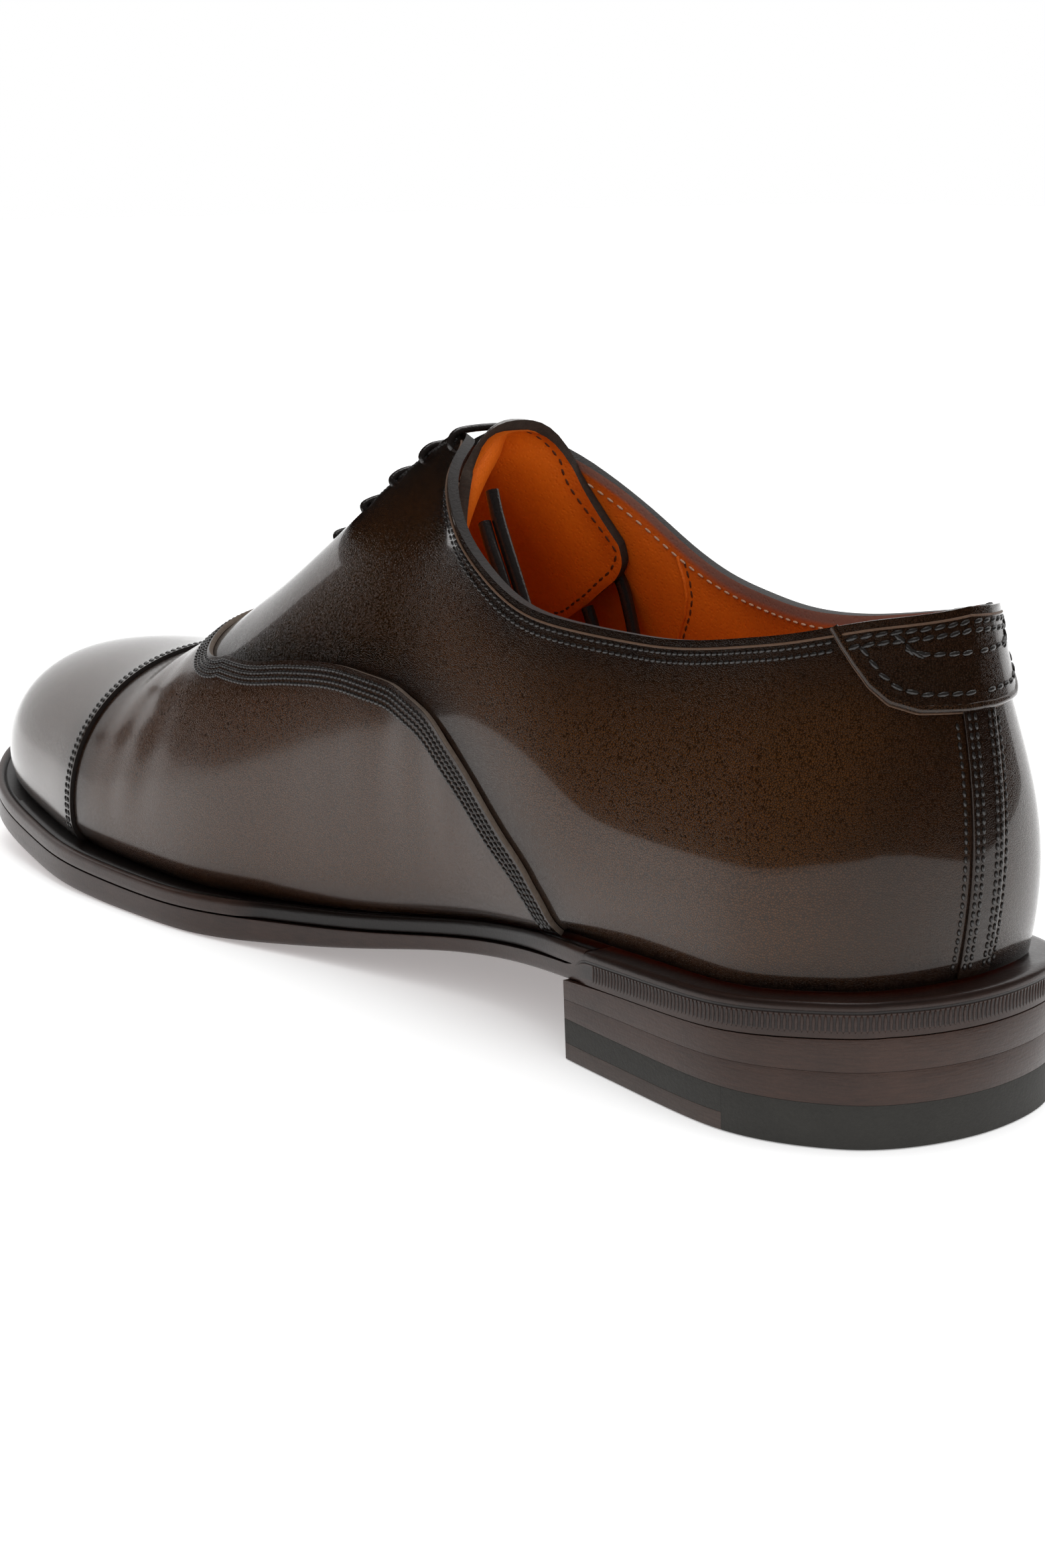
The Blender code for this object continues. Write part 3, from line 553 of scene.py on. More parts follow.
def findPlace(columns, values, side, way, rise):
    # the way and rise at which the upper has two given coordinates, step by step from a guess
    way, rise, e = np.array(way, float), np.array(rise, float), 0.002
    for _ in range(30):
        here = upperFace(way, rise, side)[..., columns]
        dw = (upperFace(np.clip(way + e, 0, 1), rise, side)[..., columns] - here) / e
        dr = (upperFace(way, rise + e, side)[..., columns] - here) / e
        miss = np.asarray(values) - here
        det = dw[..., 0] * dr[..., 1] - dw[..., 1] * dr[..., 0]
        det = np.where(np.abs(det) < 1e-3, 1e-3, det)
        stepWay = (miss[..., 0] * dr[..., 1] - miss[..., 1] * dr[..., 0]) / det
        stepRise = (dw[..., 0] * miss[..., 1] - dw[..., 1] * miss[..., 0]) / det
        way = np.clip(way + np.clip(stepWay, -0.03, 0.03), 0.0, 1.0)
        rise = np.clip(rise + np.clip(stepRise, -0.1, 0.1), 0.0, 1.0)
    return way, rise


def beside(way, rise, side, inset):
    # a line on the upper moved sideways by a distance, to its left as seen from outside
    way, rise = np.array(way, float), np.array(rise, float)
    e = 0.002
    here = upperFace(way, rise, side)
    ahead, behind = np.clip(way + e, 0, 1), np.clip(way - e, 0, 1)
    dw = (upperFace(ahead, rise, side) - upperFace(behind, rise, side)) / (2 * e)
    dr = (upperFace(way, rise + e, side) - upperFace(way, rise - e, side)) / (2 * e)
    normal = unit(np.cross(dw, dr) * side)
    across = unit(np.cross(normal, np.gradient(here, axis=0))) * inset
    a, b, c = (dw * dw).sum(-1), (dw * dr).sum(-1), (dr * dr).sum(-1)
    p, q = (dw * across).sum(-1), (dr * across).sum(-1)
    det = np.maximum(a * c - b * b, 1e-6)
    return np.clip(way + (c * p - b * q) / det, 0, 1), np.clip(rise + (a * q - b * p) / det, 0, 1)


def runLength(places):
    return np.concatenate(([0.0], np.cumsum(np.linalg.norm(np.diff(places, axis=0), axis=-1))))


def evenRun(count, places, *lines):
    run = runLength(places)
    at = np.linspace(0, run[-1], count)
    return [np.interp(at, run, line) for line in lines]


def nearness(places, line, reach):
    nearest = np.full(places.shape[:-1], 1e9)
    for point in line:
        nearest = np.minimum(nearest, ((places - point) ** 2).sum(-1))
    return np.exp(-nearest / reach**2)


def darkNear(gap, share, reach):  # darkening that fades with the distance from an edge; along the feather edge it is painted shade
    return share * np.exp(-(gap / reach) ** 2)


def allOf(*shares):
    left = 1.0
    for share in shares:
        left = left * (1 - np.clip(share, 0, 1))
    return 1 - left


print("last drawn")


# seams on the upper, as lines of way and rise
vampSeam = {
    "swanNeck": (  # seen from the side: distance from the heel, height
        (75.2, 21.2), (76.8, 28.0), (86.4, 38.4), (98.4, 48.4), (111.2, 56.6), (123.4, 59.8), (139.0, 60.6),
        (157.2, 58.9), (173.5, 56.3), (184.0, 55.8),
    ),
    "throatMiddle": -2.0, "throatFront": 204.0, "squareness": 2.4,
    "sidePoints": 240, "frontPoints": 60, "points": 260,
}
capSeam = {"distance": 229.0, "gap": 0.3, "points": 80}


def drawVampSeam(side):
    start, corner = vampSeam["swanNeck"][0][0], vampSeam["swanNeck"][-1][0]
    middle, front = vampSeam["throatMiddle"], vampSeam["throatFront"]
    distance = np.linspace(start, corner, vampSeam["sidePoints"])
    way = wayOf(distance)
    rise = findRise(way, side, 2, readRows(vampSeam["swanNeck"], 1, distance, 3.0))
    rise[0] = 0.0
    turn = np.linspace(0, np.pi / 2, vampSeam["frontPoints"])[1:-1]
    power = 2 / vampSeam["squareness"]
    reach = upperFace(way[-1], rise[-1], side)[0] - middle
    frontWay = wayOf(corner + (front - corner) * np.sin(turn) ** power)
    frontRise = findRise(frontWay, side, 0, middle + reach * np.cos(turn) ** power)
    ways = np.concatenate((way, frontWay, [float(wayOf(front))]))
    rises = np.concatenate((rise, frontRise, [1.0]))
    return evenRun(vampSeam["points"], upperFace(ways, rises, side), ways, rises)


def drawCapSeam(side):
    way = np.full(capSeam["points"], float(wayOf(capSeam["distance"])))
    return upperFace(way, np.linspace(0, 1, capSeam["points"]), side)


seamLines = {side: drawVampSeam(side) for side in bothSides}
seamPlaces = {side: upperFace(*seamLines[side], side)[::3] for side in bothSides}
capPlaces = {side: drawCapSeam(side)[::2] for side in bothSides}
print("seams drawn")

# quarters with their lining, one hollow shell from heel to toe
quarterShell = {
    "rows": 240, "columns": 64, "crowding": 0.12, "wall": 2.0, "rimRound": 0.9, "trim": 2.3, "weld": 0.03,
    "easing": 70, "easedWays": (0.35, 0.4, 0.52, 0.58), "easedRises": (0.35, 0.55), "easedUnderTop": (2.0, 9.0),
    # featherShade: painted shade on the leather just above the feather edge, where the upper turns under toward the
    # welt
    "heelBurnish": (0.75, 12.0), "featherShade": (0.95, 3.6), "collarBurnish": (0.95, 14.0),  # share, reach
    "seamBurnish": (0.85, 8.0), "instepBurnish": (0.55, 85.0, 125.0),
}


# burnish toward the heel, the vamp seam, the collar and the front of the instep, and painted shade along the feather
# edge
def burnishOf(places, side, feather, top):
    seamShare, seamReach = quarterShell["seamBurnish"]
    instepShare, start, end = quarterShell["instepBurnish"]
    return allOf(
        darkNear(places[..., 1] + 2.0, *quarterShell["heelBurnish"]),
        seamShare * nearness(places, seamPlaces[side], seamReach),
        darkNear(feather, *quarterShell["featherShade"]),
        darkNear(top, *quarterShell["collarBurnish"]),
        instepShare * smoothStep(start, end, places[..., 1]),
    )


def gapsAlong(places):
    steps = np.linalg.norm(np.diff(places, axis=1), axis=-1)
    feather = np.concatenate((np.zeros((len(places), 1)), np.cumsum(steps, 1)), 1)
    return feather, feather[:, -1:] - feather


def easeSurface(piece, rounds):
    shares = np.empty(len(piece.data.vertices), dtype=np.float32)
    piece.data.attributes["ease"].data.foreach_get("value", shares)
    group = piece.vertex_groups.new(name="easing")
    for i in np.nonzero(shares > 0.01)[0]:
        group.add([int(i)], float(shares[i]), "REPLACE")
    alter(piece, "SMOOTH", factor=0.5, iterations=rounds, vertex_group="easing")
    piece.vertex_groups.clear()
    piece.data.attributes.remove(piece.data.attributes["ease"])


def drawQuarter(side):
    ways = np.linspace(0, 1, quarterShell["rows"])[:, None]
    v = np.linspace(0, 1, quarterShell["columns"])[None, :]
    rises = v - quarterShell["crowding"] * np.sin(2 * np.pi * v) / (2 * np.pi)
    places = wornFace(ways, rises, side)
    feather, top = gapsAlong(places)
    start, full, fading, end = quarterShell["easedWays"]
    facing = smoothStep(start, full, ways) * (1 - smoothStep(fading, end, ways))
    eased = smoothStep(*quarterShell["easedRises"], rises) * smoothStep(*quarterShell["easedUnderTop"], top)
    return places, {
        "burnish": burnishOf(places, side, feather, top),
        "edge": darkNear(top - 1.0, 1.0, 4.0),
        "trim": 1 - smoothStep(quarterShell["trim"] - 0.3, quarterShell["trim"] + 0.3, top),
        "ease": facing * eased,
    }


def makeQuarters():
    piece = joinHalves("quarters", drawQuarter, medial, quarterShell["weld"])
    easeSurface(piece, quarterShell["easing"])
    dress(piece, "quarter", "lining", "darkEdge")
    thicken(piece, quarterShell["wall"], -1.0, 1, 2)
    softenEdges(piece, quarterShell["rimRound"], 3)
    settle(piece, "upper")


makeQuarters()
print("quarters lasted")

# vamp, cut along the swan-neck seam and round the throat
# the vamp's rim takes the pale edge finish, a painted highlight along its rounded lip
vampPanel = {
    "rows": 44, "ridgePoints": 36, "crowding": 1.5, "thick": 1.1, "gap": 0.06, "round": 0.3, "bevels": 2,
    # featherShade: painted shade along the vamp's feather edge
    "finishes": ("vamp", "darkEdge", "paleHighlightEdge"), "featherShade": (0.9, 5.0), "burnish": 0.25,
    "lowEdge": ((0.0, 75.2), (0.52, 172.0), (0.78, 204.0), (0.88, 214.0), (1.0, 228.85)),  # share, distance
}


def drawVamp(side):
    seamWay, seamRise = seamLines[side]
    front = float(wayOf(capSeam["distance"] - capSeam["gap"] / 2))
    ridge = np.linspace(float(wayOf(vampSeam["throatFront"])), front, vampPanel["ridgePoints"])[1:]
    topWay = np.concatenate((seamWay, ridge))
    topRise = np.concatenate((seamRise, np.ones(len(ridge))))
    lowWay = wayOf(np.interp(np.linspace(0, 1, len(topWay)), *zip(*vampPanel["lowEdge"])))
    t = np.linspace(0, 1, vampPanel["rows"])[None, :] ** vampPanel["crowding"]
    places = wornFace(topWay[:, None] * (1 - t) + lowWay[:, None] * t, topRise[:, None] * (1 - t), side)
    dark = allOf(
        0.9 * nearness(places, seamPlaces[side], 6.0),
        0.85 * nearness(places, capPlaces[side], 7.0),
        # painted shade along the feather edge
        darkNear(np.abs(places[..., 2] - places[:, -1:, 2]), *vampPanel["featherShade"]),
        vampPanel["burnish"],
    )
    return places, {"burnish": dark}


layPanel(joinHalves("vampPanel", drawVamp, lateral), vampPanel, "vamp")
print("vamp laid on")

# toe cap over the front of the vamp
toeCap = {
    "rows": 90, "columns": 56, "thick": 1.9, "gap": 0.1, "round": 0.4, "bevels": 3,
    # featherShade: painted shade along the cap's feather edge
    "finishes": ("cap", "darkEdge", "darkEdge"), "featherShade": (0.9, 5.0), "burnish": 0.35,
}


def drawToeCap(side):
    back = float(wayOf(capSeam["distance"] + capSeam["gap"] / 2))
    ways = np.linspace(back, 1.0, toeCap["rows"])[:, None]
    places = wornFace(ways, np.linspace(0, 1, toeCap["columns"])[None, :], side)
    dark = allOf(
        0.85 * nearness(places, capPlaces[side], 6.0),
        # painted shade along the feather edge
        darkNear(gapsAlong(places)[0], *toeCap["featherShade"]),
        toeCap["burnish"],
    )
    return places, {"burnish": dark}


layPanel(joinHalves("toeCapPanel", drawToeCap, medial), toeCap, "toe_cap")
print("toe cap laid on")

# heel tab and the strip down the back
heelTab = {
    "edge": ((1.5, 71.2), (3.5, 71.3), (6.5, 72.6), (9.2, 75.0), (11.8, 78.2), (14.0, 81.2), (15.8, 85.0)),
    "points": 60, "columns": 24, "thick": 1.2, "gap": 0.02, "round": 0.4, "bevels": 3, "burnish": 0.5,
    "finishes": ("tab", "darkEdge", "tab"),
}
backStrip = {
    "half": 3.6, "low": 26.0, "top": 74.0, "columns": 9, "rows": 60, "burnish": 0.7,
    "thick": 0.8, "gap": -0.25, "round": 0.25, "bevels": 3, "finishes": ("tab", "darkEdge", "tab"),
}


def drawTabEdge(side):
    y, z = np.array(heelTab["edge"]).T
    guessWay = np.interp(y, (y[0], y[-1]), (0.05, 0.14))
    guessRise = np.clip((z - last["heelRise"]) / 60, 0, 0.99)
    way, rise = findPlace([1, 2], np.stack((y, z), -1), side, guessWay, guessRise)
    way = np.concatenate(([0.0, way[0] * 0.5], way))
    backRise = findRise(np.zeros(1), side, 2, z[:1])[0]
    rise = np.concatenate(([backRise, backRise], rise))
    rise[-1] = 1.0
    return evenRun(heelTab["points"], upperFace(way, rise, side), way, rise)


def backFace(x, z, side):
    guessRise = np.clip((z - last["heelRise"]) / 61, 0.0, 0.98)
    return findPlace([0, 2], np.stack((x, z), -1), side, np.abs(x) / 200, guessRise)


tabEdges = {side: drawTabEdge(side) for side in bothSides}
tabFronts = {side: float(tabEdges[side][0][-1]) for side in bothSides}


def drawTab(side):
    way, rise = (line[:, None] for line in tabEdges[side])
    places = wornFace(way, rise + (1 - rise) * np.linspace(0, 1, heelTab["columns"])[None, :], side)
    return places, {"burnish": np.full(places.shape[:2], heelTab["burnish"])}


def drawStrip(side):
    across = np.linspace(0, backStrip["half"], backStrip["columns"])[:, None] * side
    up = np.linspace(backStrip["low"], backStrip["top"], backStrip["rows"])[None, :]
    x, z = np.broadcast_arrays(across, up)
    way, rise = backFace(x, z, side)
    places = wornFace(np.where(x == 0, 0.0, way), rise, side)
    return places, {"burnish": np.full(places.shape[:2], backStrip["burnish"])}


layPanel(joinHalves("heelTabPanel", drawTab, medial), heelTab, "heel_tab")
layPanel(joinHalves("backStrip", drawStrip, medial), backStrip, "heel_tab")
print("heel tab laid on")

# tongue, from its stitched end up to its free top
tongue = {
    "rows": (  # distance from the heel, depth under the upper, lowest rise at the sides, crown, sides set back
        (206.0, 2.6, 0.84, 0.0, 0.0), (197.0, 2.8, 0.80, 0.0, 0.0), (184.0, 6.8, 0.74, 0.3, 0.0),
        (165.0, 7.2, 0.62, 0.6, 0.0), (145.0, 7.2, 0.54, 0.8, 0.0), (132.0, 7.2, 0.53, 1.0, 0.9),
        (126.0, 6.0, 0.57, 3.4, 2.6), (121.0, 4.0, 0.655, 5.8, 5.0), (118.0, 2.8, 0.725, 7.4, 6.6),
        (116.4, 2.45, 0.785, 8.2, 7.0), (115.8, 2.35, 0.835, 8.6, 6.2),
    ),
    "thick": 2.2, "round": 0.5, "sidePoints": 16, "middlePoints": 12, "stations": 110,
    "border": 2.8, "stitchPitch": 2.3, "crownPower": 2.6, "easing": 4,
}


def tonguePlaces():
    rows = [(i, *row) for i, row in enumerate(tongue["rows"])]
    run = np.linspace(0, len(rows) - 1, tongue["stations"])
    distance, depth, lowest, crown, setBack = (readRows(rows, column, run, 0.4) for column in range(1, 6))
    share = np.linspace(0, 1, tongue["sidePoints"])
    halves = {}
    for side in (medial, lateral):
        rise = lowest[:, None] + (1 - lowest[:, None]) * share[None, :]
        way = wayOf(distance[:, None] - setBack[:, None] * (1 - share[None, :]) ** 2)
        halves[side] = upperFace(way, rise, side) - faceNormal(way, rise, side) * depth[:, None, None]
    left, right = halves[medial], halves[lateral]
    gap = np.linspace(0, 1, tongue["middlePoints"] + 2)[1:-1]
    between = left[:, -1:] + (right[:, -1:] - left[:, -1:]) * gap[None, :, None]
    between[..., 2] += crown[:, None] * (1 - np.abs(2 * gap[None, :] - 1) ** tongue["crownPower"])
    return np.concatenate((left, between, right[:, ::-1]), 1)


def tongueBorder(places):
    # on the lined face, evenly inside the free edge, from the middle of the top down the lateral side
    border = tongue["border"]
    rows, columns = (np.arange(count) for count in places.shape[:2])
    normals = unit(np.cross(np.gradient(places, axis=0), np.gradient(places, axis=1)))
    normals = normals * np.sign(normals[..., 2].mean())
    across = np.stack([runLength(row) for row in places])
    along = np.stack([runLength(places[:, j]) for j in columns], 1)
    left = along[-1] - along
    sideLine = []
    for i in rows[len(rows) // 2:]:
        j = float(np.interp(-border, across[i] - across[i, -1], columns))
        if np.interp(j, columns, left[i]) > border:
            sideLine.append((float(i), j))
    top = []
    for j in columns[len(columns) // 2 - 2:math.floor(sideLine[-1][1]) + 1]:
        top.append((float(np.interp(-border, -left[:, j], rows)), float(j)))
    line, out = [], []
    for i, j in top + sideLine[::-1]:
        i0, j0 = min(int(i), len(rows) - 2), min(int(j), len(columns) - 2)
        s, t = i - i0, j - j0
        corners = (
            ((i0, j0), (1 - s) * (1 - t)), ((i0 + 1, j0), s * (1 - t)),
            ((i0, j0 + 1), (1 - s) * t), ((i0 + 1, j0 + 1), s * t),
        )
        normal = unit(sum(normals[at] * share for at, share in corners))
        line.append(sum(places[at] * share for at, share in corners) - normal * (tongue["thick"] + 0.05))
        out.append(-normal)
    return np.array(line), np.array(out)


def makeTongue():
    places = tonguePlaces()
    alongTop = runLength(places[:, places.shape[1] // 2])
    edge = np.minimum(np.minimum(*gapsAlong(places)), (alongTop[-1] - alongTop)[:, None])
    marks = {"edge": darkNear(edge, 1.0, 3.0), "burnish": np.full(edge.shape, 0.5)}
    piece = shapeGrid("tonguePiece", places, marks)
    dress(piece, "vamp", "tongueLining", "rawEdge")
    alter(piece, "SMOOTH", factor=0.5, iterations=tongue["easing"])
    thicken(piece, tongue["thick"], -1.0, 1, 2)
    softenEdges(piece, tongue["round"])
    settle(piece, "tongue")


makeTongue()
print("tongue set in")

# sole
sole = {
    "edge": 8.9, "seatEdge": 6.7, "seatGap": 0.5, "gap": 0.3, "weltThick": 3.0, "breast": 67.0, "breastSoft": 6.0,
    # lip: the top shares of the seat's edge, darkened as painted shade under the upper
    "waist": (108.0, 175.0), "seatMargin": 5.0, "heelFootMargin": 4.2, "seatEnd": (60.0, 64.0), "lip": (0.12, 0.24),
    "rowsMeet": 0.32, "seatRows": 70, "frontRows": 150, "inside": 7, "smoothBelow": 50.0,
    "margin": (  # way, lateral margin, medial margin
        (0.00, 5.0, 5.0), (0.28, 5.0, 5.0), (0.40, 3.5, 1.5), (0.48, 4.5, 2.5), (0.58, 6.2, 6.0), (0.80, 6.4, 6.4),
        (1.00, 6.6, 6.6),
    ),
    "polishedEdge": (  # outset at the seat and in front of it, share of the way down
        (-1.4, -1.4, 0.0), (-0.4, -0.06, 0.012), (-0.05, 0.0, 0.06), (0.12, 0.03, 0.2), (0.0, 0.05, 0.34),
        (0.0, 0.05, 0.6), (0.0, 0.0, 0.85), (-0.03, -0.35, 0.97), (-1.4, -1.4, 1.0),
    ),
}
weltStrip = {
    "hiddenEdge": -6.0, "points": 150, "waist": (62.0, 90.0, 160.0, 168.0), "waistInset": 0.75,
    "profile": (  # outset from the sole's margin, none under the upper, and depth under the welt's top
        (None, 0.0), (-3.4, 0.0), (-2.4, 0.0), (-2.1, 0.35), (-1.7, 0.02), (-1.1, -0.12), (-0.4, 0.08), (-0.1, 0.45),
        (0.0, 1.2), (0.02, 2.0), (0.0, 2.9), (-0.06, 2.98), (-1.0, 3.0), (None, 3.0),
    ),
}
sockLining = {
    "inset": -3.0, "rows": 90, "over": 2.0, "under": 0.2,
    "profile": ((-1.0, 0.0), (-0.2, 0.1), (0.0, 0.5), (-0.2, 0.9), (-1.0, 1.0)),  # outset, share of the way down
}


def bed(distance):
    distance = np.asarray(distance, float)
    past = np.maximum(distance - last["length"], 0.0)
    return readRows(last["feather"], 3, wayOf(distance), 0.03) * last["heelRise"] / 100 + past * last["toeSlope"]


def soleTop(distance):
    ahead = smoothStep(sole["breast"] - sole["breastSoft"], sole["breast"], distance)
    return bed(distance) - sole["seatGap"] - ahead * (sole["weltThick"] + sole["gap"])


def soleBottom(distance):
    ahead = smoothStep(*sole["waist"], distance)
    return np.maximum(0.0, bed(distance) - sole["seatEdge"] - ahead * (sole["edge"] - sole["seatEdge"]))


def outlinePoint(way, side, margin):
    way = np.asarray(way, float)
    step = 0.01
    ahead = np.where((way + step > 1)[..., None], featherEdge(np.clip(2 - way - step, 0, 1), -side),
                     featherEdge(np.clip(way + step, 0, 1), side))
    behind = np.where((way - step < 0)[..., None], featherEdge(np.clip(step - way, 0, 1), -side),
                      featherEdge(np.clip(way - step, 0, 1), side))
    along = unit((ahead - behind)[..., :2])
    out = np.stack((along[..., 1], -along[..., 0]), -1) * side
    return featherEdge(way, side)[..., :2] + out * np.asarray(margin, float)[..., None]


def soleMargin(way, side):
    return readRows(sole["margin"], sideColumn(side), way, 0.03)


def layerRings(ways, margin, top, bottom, profile):
    # rings round a layer of the sole; the profile gives each edge point's outset and share of the way down
    edges = {}
    for side in (medial, lateral):
        edge = []
        for outset, share in profile:
            plan = outlinePoint(ways, side, margin(ways, side) + outset)
            high, low = top(plan[:, 1]), bottom(plan[:, 1])
            edge.append(np.concatenate((plan, (high - (high - low) * share)[:, None]), 1))
        edges[side] = np.stack(edge, 1)
    t = np.linspace(0, 1, sole["inside"] + 2)[1:-1][None, :, None]
    spans = []
    for first, second, height in ((edges[medial][:, -1:], edges[lateral][:, -1:], bottom),
                                  (edges[lateral][:, :1], edges[medial][:, :1], top)):
        span = first + (second - first) * t
        span[..., 2] = height(span[..., 1])
        spans.append(span)
    return np.concatenate((edges[medial], spans[0], edges[lateral][:, ::-1], spans[1]), 1)


def makeOutsole():
    meet = sole["rowsMeet"]
    ways = np.concatenate((np.linspace(0, meet, sole["seatRows"])[:-1], np.linspace(meet, 1.0, sole["frontRows"])))
    seat = 1 - smoothStep(*sole["seatEnd"], distanceOf(ways))
    profile = [(back * seat + front * (1 - seat), share) for back, front, share in sole["polishedEdge"]]
    rings = layerRings(ways, soleMargin, soleTop, soleBottom, profile)
    shares = np.array([row[2] for row in sole["polishedEdge"]])
    downs = np.full(rings.shape[:2], 2.0)  # past the edge, so the groove stays off the flat sides
    downs[:, :len(shares)] = shares
    farEdge = len(shares) + sole["inside"]
    downs[:, farEdge:farEdge + len(shares)] = shares[::-1]
    lip = 1 - smoothStep(*sole["lip"], downs)
    # the seat's top lip is darkened as painted shade in the gap under the upper
    marks = {"down": downs, "seat": seat[:, None] * np.ones(rings.shape[:2]), "dim": 0.8 * seat[:, None] * lip}
    piece = ringPiece("outsolePiece", rings, marks)
    dress(piece, "soleEdge", "tread", "welt")
    for face in piece.data.polygons:  # tread below; the top faces get the dark wax as painted shade in the gap under the upper
        if face.normal.z < -0.8:
            face.material_index = 1
        elif face.normal.z > 0.6:
            face.material_index = 2
    settle(piece, "outsole", sole["smoothBelow"])


def makeWelt():
    halfWays = np.linspace(float(wayOf(sole["breast"] - sole["breastSoft"])), 1.0, weltStrip["points"])
    start, full, fading, end = weltStrip["waist"]
    parts, shadeAndInkRings = [], []
    for ways, side in ((halfWays, lateral), (halfWays[::-1][1:], medial)):
        waist = smoothStep(start, full, distanceOf(ways)) * (1 - smoothStep(fading, end, distanceOf(ways)))
        ring, dim = [], []
        for outset, down in weltStrip["profile"]:
            if outset is None:
                margin = np.full(len(ways), weltStrip["hiddenEdge"])
            else:
                margin = soleMargin(ways, side) + outset - weltStrip["waistInset"] * waist
            # welt points in the crease under the upper are darkened as painted shade; at the waist the whole welt is
            # darkened, black ink with painted shade
            inCrease = outset is None or down < 0.5 and outset < -1.6
            dim.append(np.maximum(waist, 1.0 if inCrease else 0.0))
            plan = outlinePoint(ways, side, margin)
            ring.append(np.concatenate((plan, (bed(plan[:, 1]) - sole["seatGap"] - down)[:, None]), 1))
        parts.append(np.stack(ring, 1))
        shadeAndInkRings.append(np.stack(dim, 1))
    piece = ringPiece("weltStrip", np.concatenate(parts), {"dim": np.concatenate(shadeAndInkRings)})
    dress(piece, "soleEdge")
    settle(piece, "welt", sole["smoothBelow"])


def makeSock():
    rings = layerRings(
        np.linspace(0, 1, sockLining["rows"]), lambda way, side: np.full(len(way), sockLining["inset"]),
        lambda y: bed(y) + sockLining["over"], lambda y: bed(y) - sockLining["under"], sockLining["profile"])
    piece = ringPiece("sockLining", rings)
    dress(piece, "sock")
    settle(piece, "insole", sole["smoothBelow"])


makeOutsole()
makeWelt()
makeSock()
print("sole and welt laid")

# stacked heel
heelStack = {
    "topPiece": 7.6, "cornerThick": 3.1, "joint": 24.0, "jointGap": 0.03, "gap": 0.02, "liftShare": 0.5,
    "rows": 56, "inside": 5, "clearBehind": 0.6, "clearAhead": 1.0,  # no row this near the joint
    "edge": ((-1.2, 0.0), (-0.015, 0.015), (0.0, 0.05)),  # outset and depth from either flat side
}


def heelMargin(height):
    share = np.clip(height / (last["heelRise"] - sole["seatEdge"]), 0, 1)
    return sole["heelFootMargin"] + (sole["seatMargin"] - sole["heelFootMargin"]) * share


def heelRings(distances, top, bottom):
    ways = wayOf(distances)
    margin = np.full(len(ways), sole["seatMargin"])
    middle = (outlinePoint(ways, lateral, margin)[:, 1] + outlinePoint(ways, medial, margin)[:, 1]) / 2
    edges = {}
    for side in (medial, lateral):
        edge = []
        downward, upward = heelStack["edge"], heelStack["edge"][::-1]
        for flat, turn, rows in ((top(middle), -1, downward), (bottom(middle), 1, upward)):
            for outset, depth in rows:
                height = flat + turn * depth
                plan = outlinePoint(ways, side, heelMargin(height) + outset)
                edge.append(np.concatenate((plan, height[:, None]), 1))
        edges[side] = np.stack(edge, 1)
    t = np.linspace(0, 1, heelStack["inside"] + 2)[1:-1][None, :, None]
    under = edges[medial][:, -1:] + (edges[lateral][:, -1:] - edges[medial][:, -1:]) * t
    over = edges[lateral][:, :1] + (edges[medial][:, :1] - edges[lateral][:, :1]) * t
    return np.concatenate((edges[medial], under, edges[lateral][:, ::-1], over), 1)


def makeHeel():
    topPiece, corner = heelStack["topPiece"], heelStack["cornerThick"]
    gap, joint = heelStack["gap"], heelStack["joint"]

    def stackTop(y):
        return soleBottom(y) - gap

    def liftsMeet(y):
        return topPiece + gap + (stackTop(y) - topPiece - gap) * heelStack["liftShare"]

    def underLifts(y):
        return liftsMeet(y) - gap

    def level(height):
        return lambda y: np.full(np.shape(y), float(height))

    rows = distanceOf(np.linspace(0, float(wayOf(sole["breast"])), heelStack["rows"]))
    front = np.concatenate(([joint + heelStack["jointGap"]], rows[rows > joint + heelStack["clearAhead"]]))
    back = np.concatenate((rows[rows < joint - heelStack["clearBehind"]], [joint]))
    layers = (
        ("heelLiftUpper", rows, stackTop, liftsMeet, "lift", "heel_leather", "heel_lift_upper"),
        ("heelLiftLower", rows, underLifts, level(topPiece + gap), "lift", "heel_leather", "heel_lift_lower"),
        ("heelRubberBack", back, level(topPiece), level(0.0), "rubber", "heel_rubber", "heel_top_rubber"),
        ("heelRubberFront", front, level(topPiece), level(corner + gap), "rubber", "heel_rubber", "heel_top_rubber"),
        ("heelCorner", front, level(corner), level(0.0), "corner", "heel_leather", "heel_top_corner"),
    )
    for name, distances, top, bottom, finish, slot, node in layers:
        piece = ringPiece(name, heelRings(distances, top, bottom))
        dress(piece, finish)
        settle(piece, node, sole["smoothBelow"])


makeHeel()
print("heel stacked")

